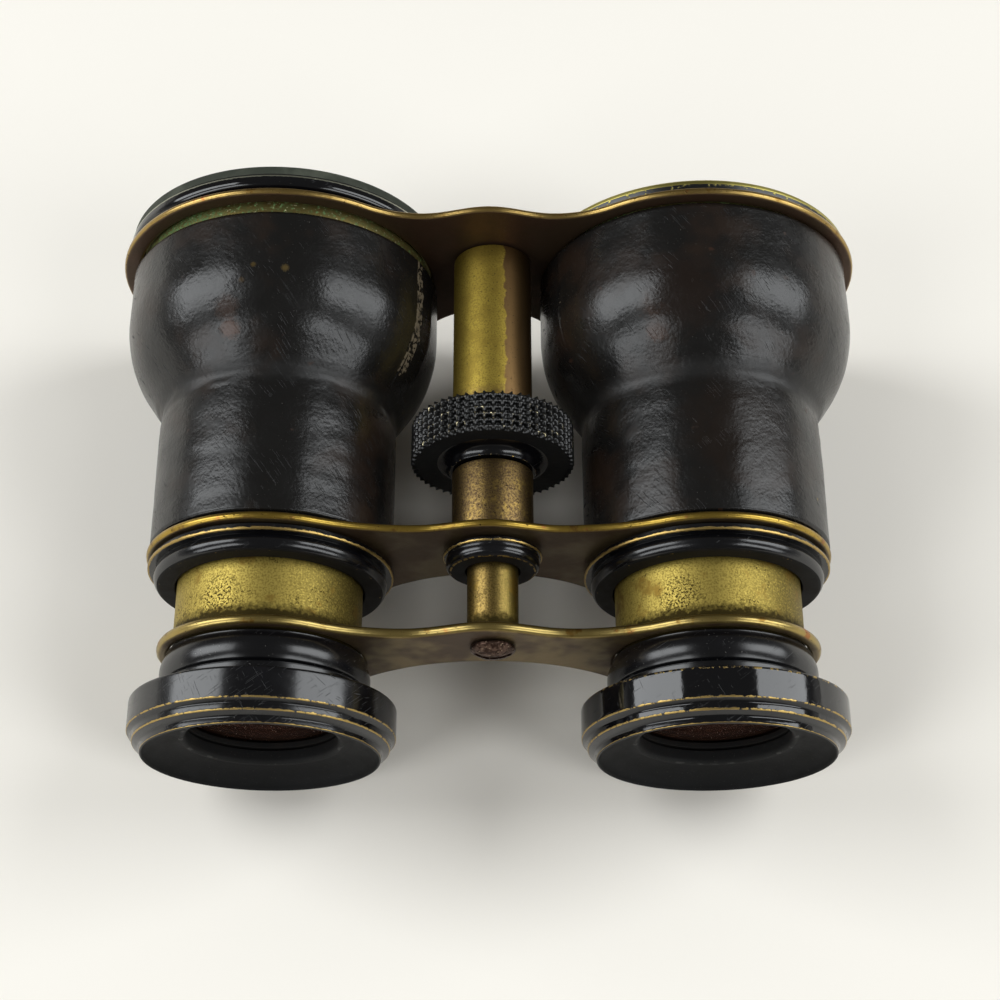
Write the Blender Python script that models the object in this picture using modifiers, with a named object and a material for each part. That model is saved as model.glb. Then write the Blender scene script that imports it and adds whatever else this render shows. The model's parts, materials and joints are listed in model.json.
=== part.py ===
"""Field glasses in brass, black lacquer and leather, lying on a table with the eyepieces forward.

Two bell-shaped barrels are joined by three brass bridges. The eyepiece bridge slides on a central column:
a knurled wheel turns a nut, and the nut draws a coarse screw, and with it both eyepieces, in or out.

Every piece is drawn in one upright frame. X runs across the glasses, Y is the station along the optical
axes, counted from the eyecups' face towards the objectives, and Z is height above the plane of the axes.
An empty then lays the whole thing down on its objective bridge and its eyecups.
"""
from math import acos, atan2, cos, pi, radians, sin, sqrt

import bmesh
import bpy
from mathutils import Vector

MM = 0.001

# Layout: the column stands above the plane of the optical axes, and a little off the middle
EYE_SPACING = 62.0 * MM
COLUMN_LIFT = 6.4 * MM
COLUMN_X = 0.55 * MM
SEAT_GAP = 0.3 * MM
RUN_GAP = 0.3 * MM
ROUND_STEPS = 28
SMALL_STEPS = 24
ARC_STEP = 2 * pi / ROUND_STEPS

# Lengths along the axes
EYEPIECE_LENGTH = 14.0 * MM
DRAW_AT_REST = 12.5 * MM
BODY_LENGTH = 46.0 * MM

# Focus travel from rest, towards the barrels and away from them, and the pull of one wheel turn
FOCUS_IN = 8.2 * MM
FOCUS_OUT = 6.5 * MM
SCREW_LEAD = 6.0 * MM

# Bridges: thickness, wall round each barrel's hole, height of the middle lobe, height of the dip beside it,
# its place across, and the height of the arch under the middle
EYE_BRIDGE_THICKNESS = 1.5 * MM
EYE_BRIDGE_RING_WALL = 1.8 * MM
EYE_BRIDGE_LOBE = 12.4 * MM
EYE_BRIDGE_DIP = 9.7 * MM
EYE_BRIDGE_DIP_X = 11.5 * MM
EYE_BRIDGE_ARCH = -0.3 * MM

MIDDLE_BRIDGE_THICKNESS = 1.2 * MM
MIDDLE_BRIDGE_RING_WALL = 2.2 * MM
MIDDLE_BRIDGE_LOBE = 15.2 * MM
MIDDLE_BRIDGE_DIP = 13.1 * MM
MIDDLE_BRIDGE_DIP_X = 10.2 * MM
MIDDLE_BRIDGE_ARCH = -2.2 * MM

OBJECTIVE_BRIDGE_THICKNESS = 1.1 * MM
OBJECTIVE_BRIDGE_RING_WALL = 2.5 * MM
OBJECTIVE_BRIDGE_LOBE = 20.3 * MM
OBJECTIVE_BRIDGE_DIP = 18.5 * MM
OBJECTIVE_BRIDGE_DIP_X = 9.5 * MM
OBJECTIVE_BRIDGE_ARCH = -7.2 * MM

# Barrel shells: a straight waist round the guide collar, a hollow curve and a swelling curve up to the
# objective end
SWELL_R = 22.0 * MM
SHELL_WALL = 0.6 * MM
WAIST_LENGTH = 17.0 * MM
HOLLOW_BEND_R = 13.0 * MM
SWELL_BEND_R = 20.0 * MM
SHELL_BEYOND_BRIDGE = 0.7 * MM
LENS_SEAT_WIDTH = 1.0 * MM
LENS_SEAT_DEPTH = 1.0 * MM

# Leather covers
LEATHER_THICKNESS = 0.8 * MM
LEFT_LEATHER_SHORT_BY = 1.5 * MM

# Objective lenses and the rings that hold them
CROWN_RECESS = 1.0 * MM
CROWN_EDGE = 1.6 * MM
CROWN_FAR_SAG = 2.3 * MM
CROWN_NEAR_SAG = 2.0 * MM
FLINT_EDGE = 3.2 * MM
OBJECTIVE_RETAINER_WIDTH = 0.8 * MM
OBJECTIVE_RETAINER_WALL = 0.8 * MM

# Objective rims: the left bezel is a tall one in two steps, the right rim is low
RIM_LIP = 0.7 * MM
RIM_CHAMFER = 0.35 * MM
BEZEL_WALL = 1.9 * MM
BEZEL_STEP_DROP = 0.4 * MM
BEZEL_STEP_HEIGHT = 2.3 * MM
BEZEL_HEIGHT = 4.0 * MM
BEZEL_MOUTH_WALL = 1.6 * MM
RIM_WALL = 1.75 * MM
RIM_HEIGHT = 1.6 * MM

# Guide collars under the middle bridge
COLLAR_FLANGE_WIDTH = 1.7 * MM
COLLAR_EDGE_STEP = 0.5 * MM
COLLAR_FACE_WALL = 1.8 * MM
COLLAR_DEPTH = 3.5 * MM
COLLAR_EDGE_WIDTH = 0.9 * MM
GUIDE_WALL = 1.8 * MM
GUIDE_LENGTH = 8.0 * MM

# Draw tubes
DRAW_TUBE_R = 13.1 * MM
DRAW_TUBE_WALL = 0.6 * MM
DRAW_TUBE_SPARE = 3.5 * MM

# Eyepiece necks
NECK_SPIGOT_WALL = 1.3 * MM
NECK_SPIGOT_LENGTH = 2.5 * MM
NECK_SHOULDER_STEP = 0.9 * MM
NECK_FLARE = 1.7 * MM
NECK_BEAD_WIDTH = 1.0 * MM
NECK_BEAD_SLOPE = 0.6 * MM
NECK_BEAD_STEP = 0.45 * MM
NECK_FOOT_WALL = 0.65 * MM
NECK_FOOT_WIDTH = 0.4 * MM
NECK_SOCKET_DEPTH = 2.9 * MM
NECK_LENS_SEAT_WIDTH = 1.1 * MM
NECK_LENS_SEAT_STEP = 1.0 * MM
NECK_WALL = 1.3 * MM

# Eyecups
EYECUP_R = 18.3 * MM
EYECUP_BAND_STEP = 0.8 * MM
EYECUP_FACE_STEP = 1.2 * MM
EYECUP_DEPTH = 7.1 * MM
EYECUP_BAND_START = 2.9 * MM
EYECUP_STEP_START = 1.5 * MM
EYECUP_BACK_ROUND = 0.4 * MM
EYECUP_RIM_FLAT = 0.3 * MM
EYECUP_HOLE_R = 10.4 * MM
EYECUP_DISH_DEPTH = 2.8 * MM
EYECUP_LIP = 1.5 * MM

# Eye lenses
EYE_LENS_R = 11.0 * MM
EYE_LENS_EDGE = 1.8 * MM
EYE_LENS_NEAR_SAG = 0.5 * MM
EYE_LENS_FAR_SAG = 0.6 * MM
EYE_RETAINER_WIDTH = 0.8 * MM
EYE_RETAINER_WALL = 0.8 * MM

# Column
COLUMN_TUBE_R = 5.75 * MM
COLUMN_TUBE_BORE_R = 4.85 * MM
LOWER_TUBE_LENGTH = 10.2 * MM
COLUMN_PLUG_LENGTH = 2.5 * MM
GLAND_DEPTH = 2.9 * MM
GLAND_FACE_R = 5.9 * MM
GLAND_LIP_WIDTH = 0.35 * MM
GLAND_BEAD_R = 6.5 * MM
GLAND_SLOPE = 0.4 * MM
GLAND_EDGE_R = 6.9 * MM
GLAND_EDGE_WIDTH = 0.35 * MM
GLAND_NECK_R = 6.3 * MM
GLAND_NECK_WIDTH = 0.4 * MM
GLAND_SPIGOT_LENGTH = 6.0 * MM

# Wheel, nut, screw and rod
WHEEL_R = 11.7 * MM
WHEEL_WIDTH = 5.9 * MM
WHEEL_RIM_WALL = 1.9 * MM
WHEEL_WEB_SINK = 0.6 * MM
WHEEL_HUB_R = 6.6 * MM
WHEEL_HUB_END_R = 6.0 * MM
WHEEL_HUB_LENGTH = 1.3 * MM
WHEEL_FILLET = 1.5 * MM
KNURL_COUNT = 48
KNURL_DEPTH = 0.45 * MM
NUT_JOURNAL = 3.2 * MM
ROD_R = 3.55 * MM
ROD_HELD_LENGTH = 0.9 * MM
ROD_SOCKET_DEPTH = 8.0 * MM
THREAD_R = 3.0 * MM
THREAD_DEPTH = 0.7 * MM
THREAD_STARTS = 3
THREAD_SPARE = 1.0 * MM
THREAD_TURN_STEPS = 7
THREAD_LOBE_STEPS = 4
SPIGOT_R = 2.0 * MM

# Screws that hold the column and the rod to their bridges
SCREW_HEAD_R = 3.1 * MM
SCREW_HEAD_EDGE = 0.4 * MM
SCREW_HEAD_DOME = 0.7 * MM
SCREW_SHANK_R = 1.3 * MM
SCREW_SHANK_LENGTH = 5.5 * MM
SCREW_SLOT_WIDTH = 0.6 * MM
SCREW_SLOT_DEPTH = 0.55 * MM

# Stations that follow from the lengths above
EYE_BRIDGE_NEAR = EYEPIECE_LENGTH
EYE_BRIDGE_FAR = EYE_BRIDGE_NEAR + EYE_BRIDGE_THICKNESS
MIDDLE_BRIDGE_NEAR = EYE_BRIDGE_FAR + DRAW_AT_REST
MIDDLE_BRIDGE_FAR = MIDDLE_BRIDGE_NEAR + MIDDLE_BRIDGE_THICKNESS
OBJECTIVE_BRIDGE_NEAR = MIDDLE_BRIDGE_FAR + BODY_LENGTH
OBJECTIVE_BRIDGE_FAR = OBJECTIVE_BRIDGE_NEAR + OBJECTIVE_BRIDGE_THICKNESS
SHELL_NEAR = MIDDLE_BRIDGE_FAR + SEAT_GAP
SHELL_FAR = OBJECTIVE_BRIDGE_FAR + SHELL_BEYOND_BRIDGE
SHELL_BORE_R = SWELL_R - SHELL_WALL
OBJECTIVE_LENS_R = SHELL_BORE_R - SEAT_GAP
OBJECTIVE_CLEAR_R = SHELL_BORE_R - RIM_LIP
RIM_SOCKET_R = SWELL_R + SEAT_GAP
OBJECTIVE_BRIDGE_RING_R = RIM_SOCKET_R + OBJECTIVE_BRIDGE_RING_WALL
BEZEL_R = RIM_SOCKET_R + BEZEL_WALL
BEZEL_FACE_R = BEZEL_R - BEZEL_STEP_DROP
BEZEL_MOUTH_R = BEZEL_FACE_R - BEZEL_MOUTH_WALL
RIM_R = RIM_SOCKET_R + RIM_WALL
CROWN_FAR = OBJECTIVE_BRIDGE_FAR - CROWN_RECESS
CROWN_NEAR = CROWN_FAR - CROWN_EDGE
FLINT_FAR = CROWN_NEAR - SEAT_GAP
FLINT_NEAR = FLINT_FAR - FLINT_EDGE
LENS_SEAT_FAR = FLINT_NEAR - SEAT_GAP
COLLAR_FAR = MIDDLE_BRIDGE_NEAR - SEAT_GAP
COLLAR_NEAR = COLLAR_FAR - COLLAR_DEPTH
GUIDE_BORE_R = DRAW_TUBE_R + RUN_GAP
GUIDE_R = GUIDE_BORE_R + GUIDE_WALL
WAIST_R = GUIDE_R + SEAT_GAP + SHELL_WALL
GUIDE_FAR = MIDDLE_BRIDGE_FAR + GUIDE_LENGTH
MIDDLE_BRIDGE_RING_R = GUIDE_R + SEAT_GAP + MIDDLE_BRIDGE_RING_WALL
COLLAR_NECK_R = GUIDE_R + COLLAR_FLANGE_WIDTH
COLLAR_EDGE_R = COLLAR_NECK_R + COLLAR_EDGE_STEP
COLLAR_FACE_R = GUIDE_BORE_R + COLLAR_FACE_WALL
EYECUP_STEP_R = EYECUP_R - EYECUP_BAND_STEP
EYECUP_FACE_R = EYECUP_STEP_R - EYECUP_FACE_STEP
NECK_FAR = EYE_BRIDGE_NEAR - SEAT_GAP
NECK_SHOULDER = EYECUP_DEPTH + SEAT_GAP
NECK_NEAR = EYECUP_DEPTH - NECK_SPIGOT_LENGTH
NECK_SOCKET = NECK_FAR - NECK_SOCKET_DEPTH
NECK_SOCKET_R = DRAW_TUBE_R + SEAT_GAP
EYE_BRIDGE_RING_R = NECK_SOCKET_R + EYE_BRIDGE_RING_WALL
NECK_FOOT_R = NECK_SOCKET_R + NECK_FOOT_WALL
NECK_BEAD_R = NECK_FOOT_R + NECK_BEAD_STEP
LENS_CELL_R = EYE_LENS_R + SEAT_GAP
NECK_LENS_SEAT_R = EYE_LENS_R - NECK_LENS_SEAT_STEP
NECK_SPIGOT_R = LENS_CELL_R + NECK_SPIGOT_WALL
NECK_WAIST_R = NECK_SPIGOT_R + NECK_SHOULDER_STEP
NECK_BORE_R = NECK_WAIST_R - NECK_WALL
EYE_LENS_NEAR = NECK_NEAR + EYE_RETAINER_WIDTH + SEAT_GAP
EYE_LENS_FAR = EYE_LENS_NEAR + EYE_LENS_EDGE
NECK_LENS_SEAT = EYE_LENS_FAR + SEAT_GAP
DRAW_TUBE_NEAR = NECK_SOCKET + SEAT_GAP
DRAW_TUBE_FAR = GUIDE_FAR + FOCUS_OUT + DRAW_TUBE_SPARE
LOWER_TUBE_NEAR = MIDDLE_BRIDGE_FAR + SEAT_GAP
LOWER_TUBE_FAR = LOWER_TUBE_NEAR + LOWER_TUBE_LENGTH
HUB_NEAR = LOWER_TUBE_FAR + RUN_GAP
RIM_NEAR = HUB_NEAR + WHEEL_HUB_LENGTH
RIM_FAR = RIM_NEAR + WHEEL_WIDTH
UPPER_TUBE_NEAR = RIM_FAR + RUN_GAP
UPPER_TUBE_FAR = OBJECTIVE_BRIDGE_NEAR - SEAT_GAP
GLAND_FAR = MIDDLE_BRIDGE_NEAR - SEAT_GAP
GLAND_NEAR = GLAND_FAR - GLAND_DEPTH
GLAND_SPIGOT_R = COLUMN_TUBE_BORE_R - SEAT_GAP
ROD_BORE_R = ROD_R + RUN_GAP
ROD_NEAR = EYE_BRIDGE_FAR + SEAT_GAP
ROD_FAR = GLAND_NEAR + FOCUS_OUT + ROD_HELD_LENGTH
NUT_R = COLUMN_TUBE_BORE_R - RUN_GAP
NUT_NEAR = HUB_NEAR - NUT_JOURNAL
NUT_FAR = RIM_FAR + NUT_JOURNAL
NUT_THREAD_NEAR = ROD_FAR + FOCUS_IN + RUN_GAP
NUT_THREAD_R = THREAD_R + RUN_GAP
THREAD_NEAR = ROD_FAR + SEAT_GAP
THREAD_FAR = NUT_FAR + FOCUS_OUT + THREAD_SPARE
SCREW_HOLE_R = SCREW_SHANK_R + SEAT_GAP

# How far the glasses lean back when they lie on the objective bridge and the eyecups' bands
LIE_ANGLE = atan2(OBJECTIVE_BRIDGE_RING_R - EYECUP_R, OBJECTIVE_BRIDGE_NEAR - EYECUP_BAND_START)

# Finishes: colour, roughness, metallic
BRIGHT_BRASS = ((0.52, 0.40, 0.13), 0.32, 1.0)
BROWN_BRASS = ((0.23, 0.17, 0.09), 0.42, 1.0)
RUBBED_BRASS = ((0.42, 0.33, 0.13), 0.36, 1.0)
BLACK_LACQUER = ((0.010, 0.010, 0.012), 0.25, 0.0)
MATT_BLACK = ((0.018, 0.018, 0.018), 0.7, 0.0)
BLACK_LEATHER = ((0.022, 0.017, 0.014), 0.5, 0.0)
BROWN_STEEL = ((0.13, 0.09, 0.07), 0.45, 1.0)
BRIGHT_STEEL = ((0.45, 0.44, 0.42), 0.3, 1.0)
LENS_GLASS = ((0.80, 0.86, 0.84), 0.03, 0.0)


def clear_scene():
    """Take everything out of the scene."""
    for obj in list(bpy.data.objects):
        bpy.data.objects.remove(obj, do_unlink=True)


def new_collection(name):
    """Make a collection in the scene."""
    collection = bpy.data.collections.new(name)
    bpy.context.scene.collection.children.link(collection)
    return collection


def new_empty(name, parent=None, location=(0, 0, 0)):
    """Make an empty that carries pieces; children are placed in the upright frame, not in the empty's."""
    empty = bpy.data.objects.new(name, None)
    empty.location = location
    empty.parent = parent
    parts.objects.link(empty)
    return empty


def finish_of(name, look):
    """Make a piece's own material from a finish."""
    colour, roughness, metallic = look
    material = bpy.data.materials.new(name + "_finish")
    material.use_nodes = True
    shader = material.node_tree.nodes["Principled BSDF"]
    shader.inputs["Base Color"].default_value = (*colour, 1.0)
    shader.inputs["Roughness"].default_value = roughness
    shader.inputs["Metallic"].default_value = metallic
    if look is LENS_GLASS:
        shader.inputs["Transmission Weight"].default_value = 1.0
    return material


def hang(obj, collection, carrier, position):
    """Link an object to a collection and hang it on its carrier, at a position in the upright frame."""
    collection.objects.link(obj)
    obj.parent = carrier
    offset = Vector((0, 0, 0)) if carrier is glasses else carrier.location
    obj.location = Vector(position) - offset


def add_piece(name, data, look, carrier, position):
    """Add a piece with its finish to the parts."""
    piece = bpy.data.objects.new(name, data)
    data.materials.append(finish_of(name, look))
    hang(piece, parts, carrier, position)
    return piece


def turned(name, outline, look, carrier, x, z, steps=ROUND_STEPS):
    """Turn an outline of (station, radius) points about an axis that runs along the glasses.

    The outline climbs the outside from the eye end. A hollow piece comes back down its bore and closes,
    and a solid one starts and ends on the axis.
    """
    mesh = bpy.data.meshes.new(name)
    bm = bmesh.new()
    points = [bm.verts.new((radius, 0, station)) for station, radius in reversed(outline)]
    for above, below in zip(points, points[1:]):
        bm.edges.new((above, below))
    if outline[0][1] > 0:
        bm.edges.new((points[-1], points[0]))
    bm.to_mesh(mesh)
    bm.free()
    piece = add_piece(name, mesh, look, carrier, (x, 0, z))
    piece.rotation_euler = (-pi / 2, 0, 0)
    screw = piece.modifiers.new("turn", "SCREW")
    screw.axis = "Z"
    screw.angle = 2 * pi
    screw.steps = steps
    screw.render_steps = steps
    screw.use_smooth_shade = True
    screw.use_merge_vertices = True
    screw.merge_threshold = 0.01 * MM
    return piece


def freeze(piece):
    """Replace a piece's modifiers by the mesh that they make."""
    bpy.context.view_layer.update()
    evaluated = piece.evaluated_get(bpy.context.evaluated_depsgraph_get())
    piece.data = bpy.data.meshes.new_from_object(evaluated)
    piece.modifiers.clear()


def boolean(piece, tool, operation):
    """Cut or join a piece with a tool, which is kept among the cutters as a wire guide."""
    tool.hide_render = True
    tool.display_type = "WIRE"
    for collection in list(tool.users_collection):
        collection.objects.unlink(tool)
    cutters.objects.link(tool)
    modifier = piece.modifiers.new(tool.name, "BOOLEAN")
    modifier.operation = operation
    modifier.solver = "EXACT"
    modifier.object = tool


def arc(centre, radius, start, end):
    """Points on an arc from one angle to another: both ends, and the even steps well between them."""
    low = min(start, end) + ARC_STEP / 4
    high = max(start, end) - ARC_STEP / 4
    between = [k * ARC_STEP for k in range(-ROUND_STEPS, ROUND_STEPS + 1) if low < k * ARC_STEP < high]
    if start > end:
        between.reverse()
    angles = [start, *between, end]
    return [(centre[0] + radius * cos(a), centre[1] + radius * sin(a)) for a in angles]


def circle(x, z, radius, steps):
    """Points of a round hole."""
    angles = [2 * pi * k / steps for k in range(steps)]
    return [(x + radius * cos(a), z + radius * sin(a)) for a in angles]


def bridge_outline(ring_r, lobe, dip, dip_x, arch):
    """The bridge's edge: a lobe over the column, hollow curves into both rings, and an arch underneath."""
    ring_x = EYE_SPACING / 2
    lobe_steps = 5
    crest = [(dip_x * k / lobe_steps, dip + (lobe - dip) * (1 + cos(pi * k / lobe_steps)) / 2)
             for k in range(lobe_steps)]
    top_r = ((ring_x - dip_x) ** 2 + dip ** 2 - ring_r ** 2) / (2 * (ring_r - dip))
    top_centre = (dip_x, dip + top_r)
    top_meet = atan2(top_centre[1], top_centre[0] - ring_x)
    arch_r = (ring_x ** 2 + arch ** 2 - ring_r ** 2) / (2 * (ring_r + arch))
    arch_centre = (0.0, arch - arch_r)
    arch_meet = atan2(arch_centre[1], -ring_x)
    right = crest
    right += arc(top_centre, top_r, -pi / 2, top_meet - pi)
    right += arc((ring_x, 0), ring_r, top_meet, arch_meet)[1:]
    right += arc(arch_centre, arch_r, arch_meet + pi, pi / 2)[1:]
    left = [(-x, z) for x, z in reversed(right[1:-1])]
    return right + left


def bridge(name, outline, near, thickness, ring_hole_r, column_hole_r, carrier):
    """Cut a bridge from sheet brass, with a hole for each barrel and one on the column's axis."""
    curve = bpy.data.curves.new(name, "CURVE")
    curve.dimensions = "2D"
    curve.fill_mode = "BOTH"
    curve.extrude = thickness / 2
    holes = [circle(side * EYE_SPACING / 2, 0, ring_hole_r, ROUND_STEPS) for side in (-1, 1)]
    holes.append(circle(COLUMN_X, COLUMN_LIFT, column_hole_r, SMALL_STEPS))
    for points in [outline] + holes:
        spline = curve.splines.new("POLY")
        spline.points.add(len(points) - 1)
        for point, (x, z) in zip(spline.points, points):
            point.co = (x, z, 0, 1)
        spline.use_cyclic_u = True
    plate = add_piece(name, curve, BROWN_BRASS, carrier, (0, near + thickness / 2, 0))
    plate.rotation_euler = (pi / 2, 0, 0)
    return plate


def bell(offset, near, far):
    """The barrel's outside, moved outwards by an offset: waist, hollow curve, swelling curve, wide end."""
    turn = acos(1 - (SWELL_R - WAIST_R) / (HOLLOW_BEND_R + SWELL_BEND_R))
    bend_start = SHELL_NEAR + WAIST_LENGTH
    bend_end = bend_start + (HOLLOW_BEND_R + SWELL_BEND_R) * sin(turn)
    hollow_steps = 2
    swell_steps = 3
    points = [(near, WAIST_R + offset)]
    for k in range(hollow_steps + 1):
        angle = turn * k / hollow_steps
        reach = HOLLOW_BEND_R - offset
        points.append((bend_start + reach * sin(angle), WAIST_R + HOLLOW_BEND_R - reach * cos(angle)))
    for k in range(swell_steps):
        angle = turn * (swell_steps - 1 - k) / swell_steps
        reach = SWELL_BEND_R + offset
        points.append((bend_end - reach * sin(angle), SWELL_R - SWELL_BEND_R + reach * cos(angle)))
    points.append((far, SWELL_R + offset))
    return points


def dome(edge, sag, radius, steps=2):
    """Points from the axis to the edge of a ball-shaped face that stands up by its sag at the middle."""
    if sag == 0:
        return [(edge, 0.0), (edge, radius)]
    ball = (radius ** 2 + sag ** 2) / (2 * abs(sag))
    sign = 1 if sag > 0 else -1
    points = []
    for k in range(steps + 1):
        r = radius * k / steps
        points.append((edge + sign * (sqrt(ball ** 2 - r ** 2) - ball + abs(sag)), r))
    return points


def lens(name, near, near_sag, far, far_sag, radius, carrier, x):
    """A lens between two faces; a sag is counted towards the objectives."""
    outline = dome(near, near_sag, radius) + list(reversed(dome(far, far_sag, radius)))
    return turned(name, outline, LENS_GLASS, carrier, x, 0, SMALL_STEPS)


def retainer(name, near, width, outer_r, wall, carrier, x):
    """A thin ring that holds a lens on its seat."""
    inner_r = outer_r - wall
    outline = [(near, outer_r), (near + width, outer_r), (near + width, inner_r), (near, inner_r)]
    return turned(name, outline, MATT_BLACK, carrier, x, 0, SMALL_STEPS)


def barrel_shell(side, x):
    """Spun brass shell with a seat for the objective inside."""
    outside = bell(0, SHELL_NEAR, SHELL_FAR)
    inside = bell(-SHELL_WALL, SHELL_NEAR, LENS_SEAT_FAR - LENS_SEAT_WIDTH)
    seat_r = SHELL_BORE_R - LENS_SEAT_DEPTH
    seat = [(SHELL_FAR, SHELL_BORE_R), (LENS_SEAT_FAR, SHELL_BORE_R), (LENS_SEAT_FAR, seat_r),
            (LENS_SEAT_FAR - LENS_SEAT_WIDTH, seat_r)]
    turned(side + "_barrel_shell", outside + seat + list(reversed(inside)), RUBBED_BRASS, glasses, x, 0)


def leather_cover(side, x, short_by):
    """Leather stretched over the shell, from the middle bridge almost to the objective bridge."""
    far = OBJECTIVE_BRIDGE_NEAR - SEAT_GAP - short_by
    outside = bell(SEAT_GAP + LEATHER_THICKNESS, SHELL_NEAR, far)
    inside = bell(SEAT_GAP, SHELL_NEAR, far)
    turned(side + "_leather_cover", outside + list(reversed(inside)), BLACK_LEATHER, glasses, x, 0)


def objective_bezel(x):
    """Tall black bezel in two steps on the left objective, flared at its mouth."""
    near = OBJECTIVE_BRIDGE_FAR + SEAT_GAP
    socket = SHELL_FAR + SEAT_GAP
    step = near + BEZEL_STEP_HEIGHT
    face = near + BEZEL_HEIGHT
    outline = [(near, BEZEL_R), (step, BEZEL_R), (step, BEZEL_FACE_R),
               (face - RIM_CHAMFER, BEZEL_FACE_R), (face, BEZEL_FACE_R - RIM_CHAMFER),
               (face, BEZEL_MOUTH_R), (step, OBJECTIVE_CLEAR_R),
               (socket, OBJECTIVE_CLEAR_R), (socket, RIM_SOCKET_R), (near, RIM_SOCKET_R)]
    turned("left_objective_bezel", outline, BLACK_LACQUER, glasses, x, 0)


def objective_rim(x):
    """Low rim on the right objective."""
    near = OBJECTIVE_BRIDGE_FAR + SEAT_GAP
    socket = SHELL_FAR + SEAT_GAP
    face = near + RIM_HEIGHT
    outline = [(near, RIM_R), (face - RIM_CHAMFER, RIM_R), (face, RIM_R - RIM_CHAMFER),
               (face, OBJECTIVE_CLEAR_R), (socket, OBJECTIVE_CLEAR_R),
               (socket, RIM_SOCKET_R), (near, RIM_SOCKET_R)]
    turned("right_objective_rim", outline, RUBBED_BRASS, glasses, x, 0)


def objective(side, x):
    """Crown and flint elements and the ring in front of them."""
    lens(side + "_objective_crown", CROWN_NEAR, -CROWN_NEAR_SAG, CROWN_FAR, CROWN_FAR_SAG,
         OBJECTIVE_LENS_R, glasses, x)
    lens(side + "_objective_flint", FLINT_NEAR, 0, FLINT_FAR, -CROWN_NEAR_SAG,
         OBJECTIVE_LENS_R, glasses, x)
    retainer(side + "_objective_retaining_ring", CROWN_FAR + SEAT_GAP, OBJECTIVE_RETAINER_WIDTH,
             OBJECTIVE_LENS_R, OBJECTIVE_RETAINER_WALL, glasses, x)


def guide_collar(side, x):
    """Black collar under the middle bridge; its long spigot guides the draw tube inside the shell."""
    edge = COLLAR_FAR - COLLAR_EDGE_WIDTH
    shoulder_steps = 3
    run = edge - COLLAR_NEAR
    drop = COLLAR_EDGE_R - COLLAR_FACE_R
    shoulder = [(COLLAR_NEAR + run * (1 - cos(a)), COLLAR_FACE_R + drop * sin(a))
                for a in [pi / 2 * k / shoulder_steps for k in range(shoulder_steps + 1)]]
    outline = shoulder + [(edge, COLLAR_NECK_R), (COLLAR_FAR, COLLAR_NECK_R), (COLLAR_FAR, GUIDE_R),
                          (GUIDE_FAR, GUIDE_R), (GUIDE_FAR, GUIDE_BORE_R), (COLLAR_NEAR, GUIDE_BORE_R)]
    turned(side + "_guide_collar", outline, BLACK_LACQUER, glasses, x, 0)


def draw_tube(side, x):
    """Brass tube that slides in the guide collar."""
    bore_r = DRAW_TUBE_R - DRAW_TUBE_WALL
    outline = [(DRAW_TUBE_NEAR, DRAW_TUBE_R), (DRAW_TUBE_FAR, DRAW_TUBE_R),
               (DRAW_TUBE_FAR, bore_r), (DRAW_TUBE_NEAR, bore_r)]
    turned(side + "_draw_tube", outline, BRIGHT_BRASS, eyepieces, x, 0)


def eyepiece_neck(side, x):
    """Black neck with a bead, which screws over the draw tube and carries the eye lens."""
    foot = NECK_FAR - NECK_FOOT_WIDTH
    bead_far = foot - NECK_BEAD_SLOPE
    bead_near = bead_far - NECK_BEAD_WIDTH
    flare_far = bead_near - NECK_BEAD_SLOPE
    seat_far = NECK_LENS_SEAT + NECK_LENS_SEAT_WIDTH
    outline = [(NECK_NEAR, NECK_SPIGOT_R), (NECK_SHOULDER, NECK_SPIGOT_R), (NECK_SHOULDER, NECK_WAIST_R),
               (flare_far - NECK_FLARE, NECK_WAIST_R), (flare_far, NECK_FOOT_R),
               (bead_near, NECK_BEAD_R), (bead_far, NECK_BEAD_R), (foot, NECK_FOOT_R),
               (NECK_FAR, NECK_FOOT_R),
               (NECK_FAR, NECK_SOCKET_R), (NECK_SOCKET, NECK_SOCKET_R),
               (NECK_SOCKET, NECK_BORE_R), (seat_far, NECK_BORE_R), (seat_far, NECK_LENS_SEAT_R),
               (NECK_LENS_SEAT, NECK_LENS_SEAT_R), (NECK_LENS_SEAT, LENS_CELL_R), (NECK_NEAR, LENS_CELL_R)]
    turned(side + "_eyepiece_neck", outline, BLACK_LACQUER, eyepieces, x, 0, SMALL_STEPS)


def eyecup(side, x):
    """Stepped black eyecup with a dished face, screwed on the neck's spigot."""
    counterbore_r = NECK_SPIGOT_R + SEAT_GAP
    counterbore = EYECUP_DISH_DEPTH + EYECUP_LIP
    dish_steps = 3
    dish_r = EYECUP_FACE_R - EYECUP_RIM_FLAT
    dish = [(EYECUP_DISH_DEPTH * sin(a), EYECUP_HOLE_R + (dish_r - EYECUP_HOLE_R) * cos(a))
            for a in [pi / 2 * k / dish_steps for k in range(dish_steps + 1)]]
    outline = [(0.0, EYECUP_FACE_R), (EYECUP_STEP_START, EYECUP_STEP_R), (EYECUP_BAND_START, EYECUP_R),
               (EYECUP_DEPTH - EYECUP_BACK_ROUND, EYECUP_R), (EYECUP_DEPTH, EYECUP_R - EYECUP_BACK_ROUND),
               (EYECUP_DEPTH, counterbore_r), (counterbore, counterbore_r), (counterbore, EYECUP_HOLE_R)]
    turned(side + "_eyecup", outline + list(reversed(dish)), BLACK_LACQUER, eyepieces, x, 0)


def eye_lens(side, x):
    """Hollow eye lens and the ring in front of it."""
    lens(side + "_eye_lens", EYE_LENS_NEAR, EYE_LENS_NEAR_SAG, EYE_LENS_FAR, -EYE_LENS_FAR_SAG,
         EYE_LENS_R, eyepieces, x)
    retainer(side + "_eye_lens_retaining_ring", NECK_NEAR, EYE_RETAINER_WIDTH, EYE_LENS_R,
             EYE_RETAINER_WALL, eyepieces, x)


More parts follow.
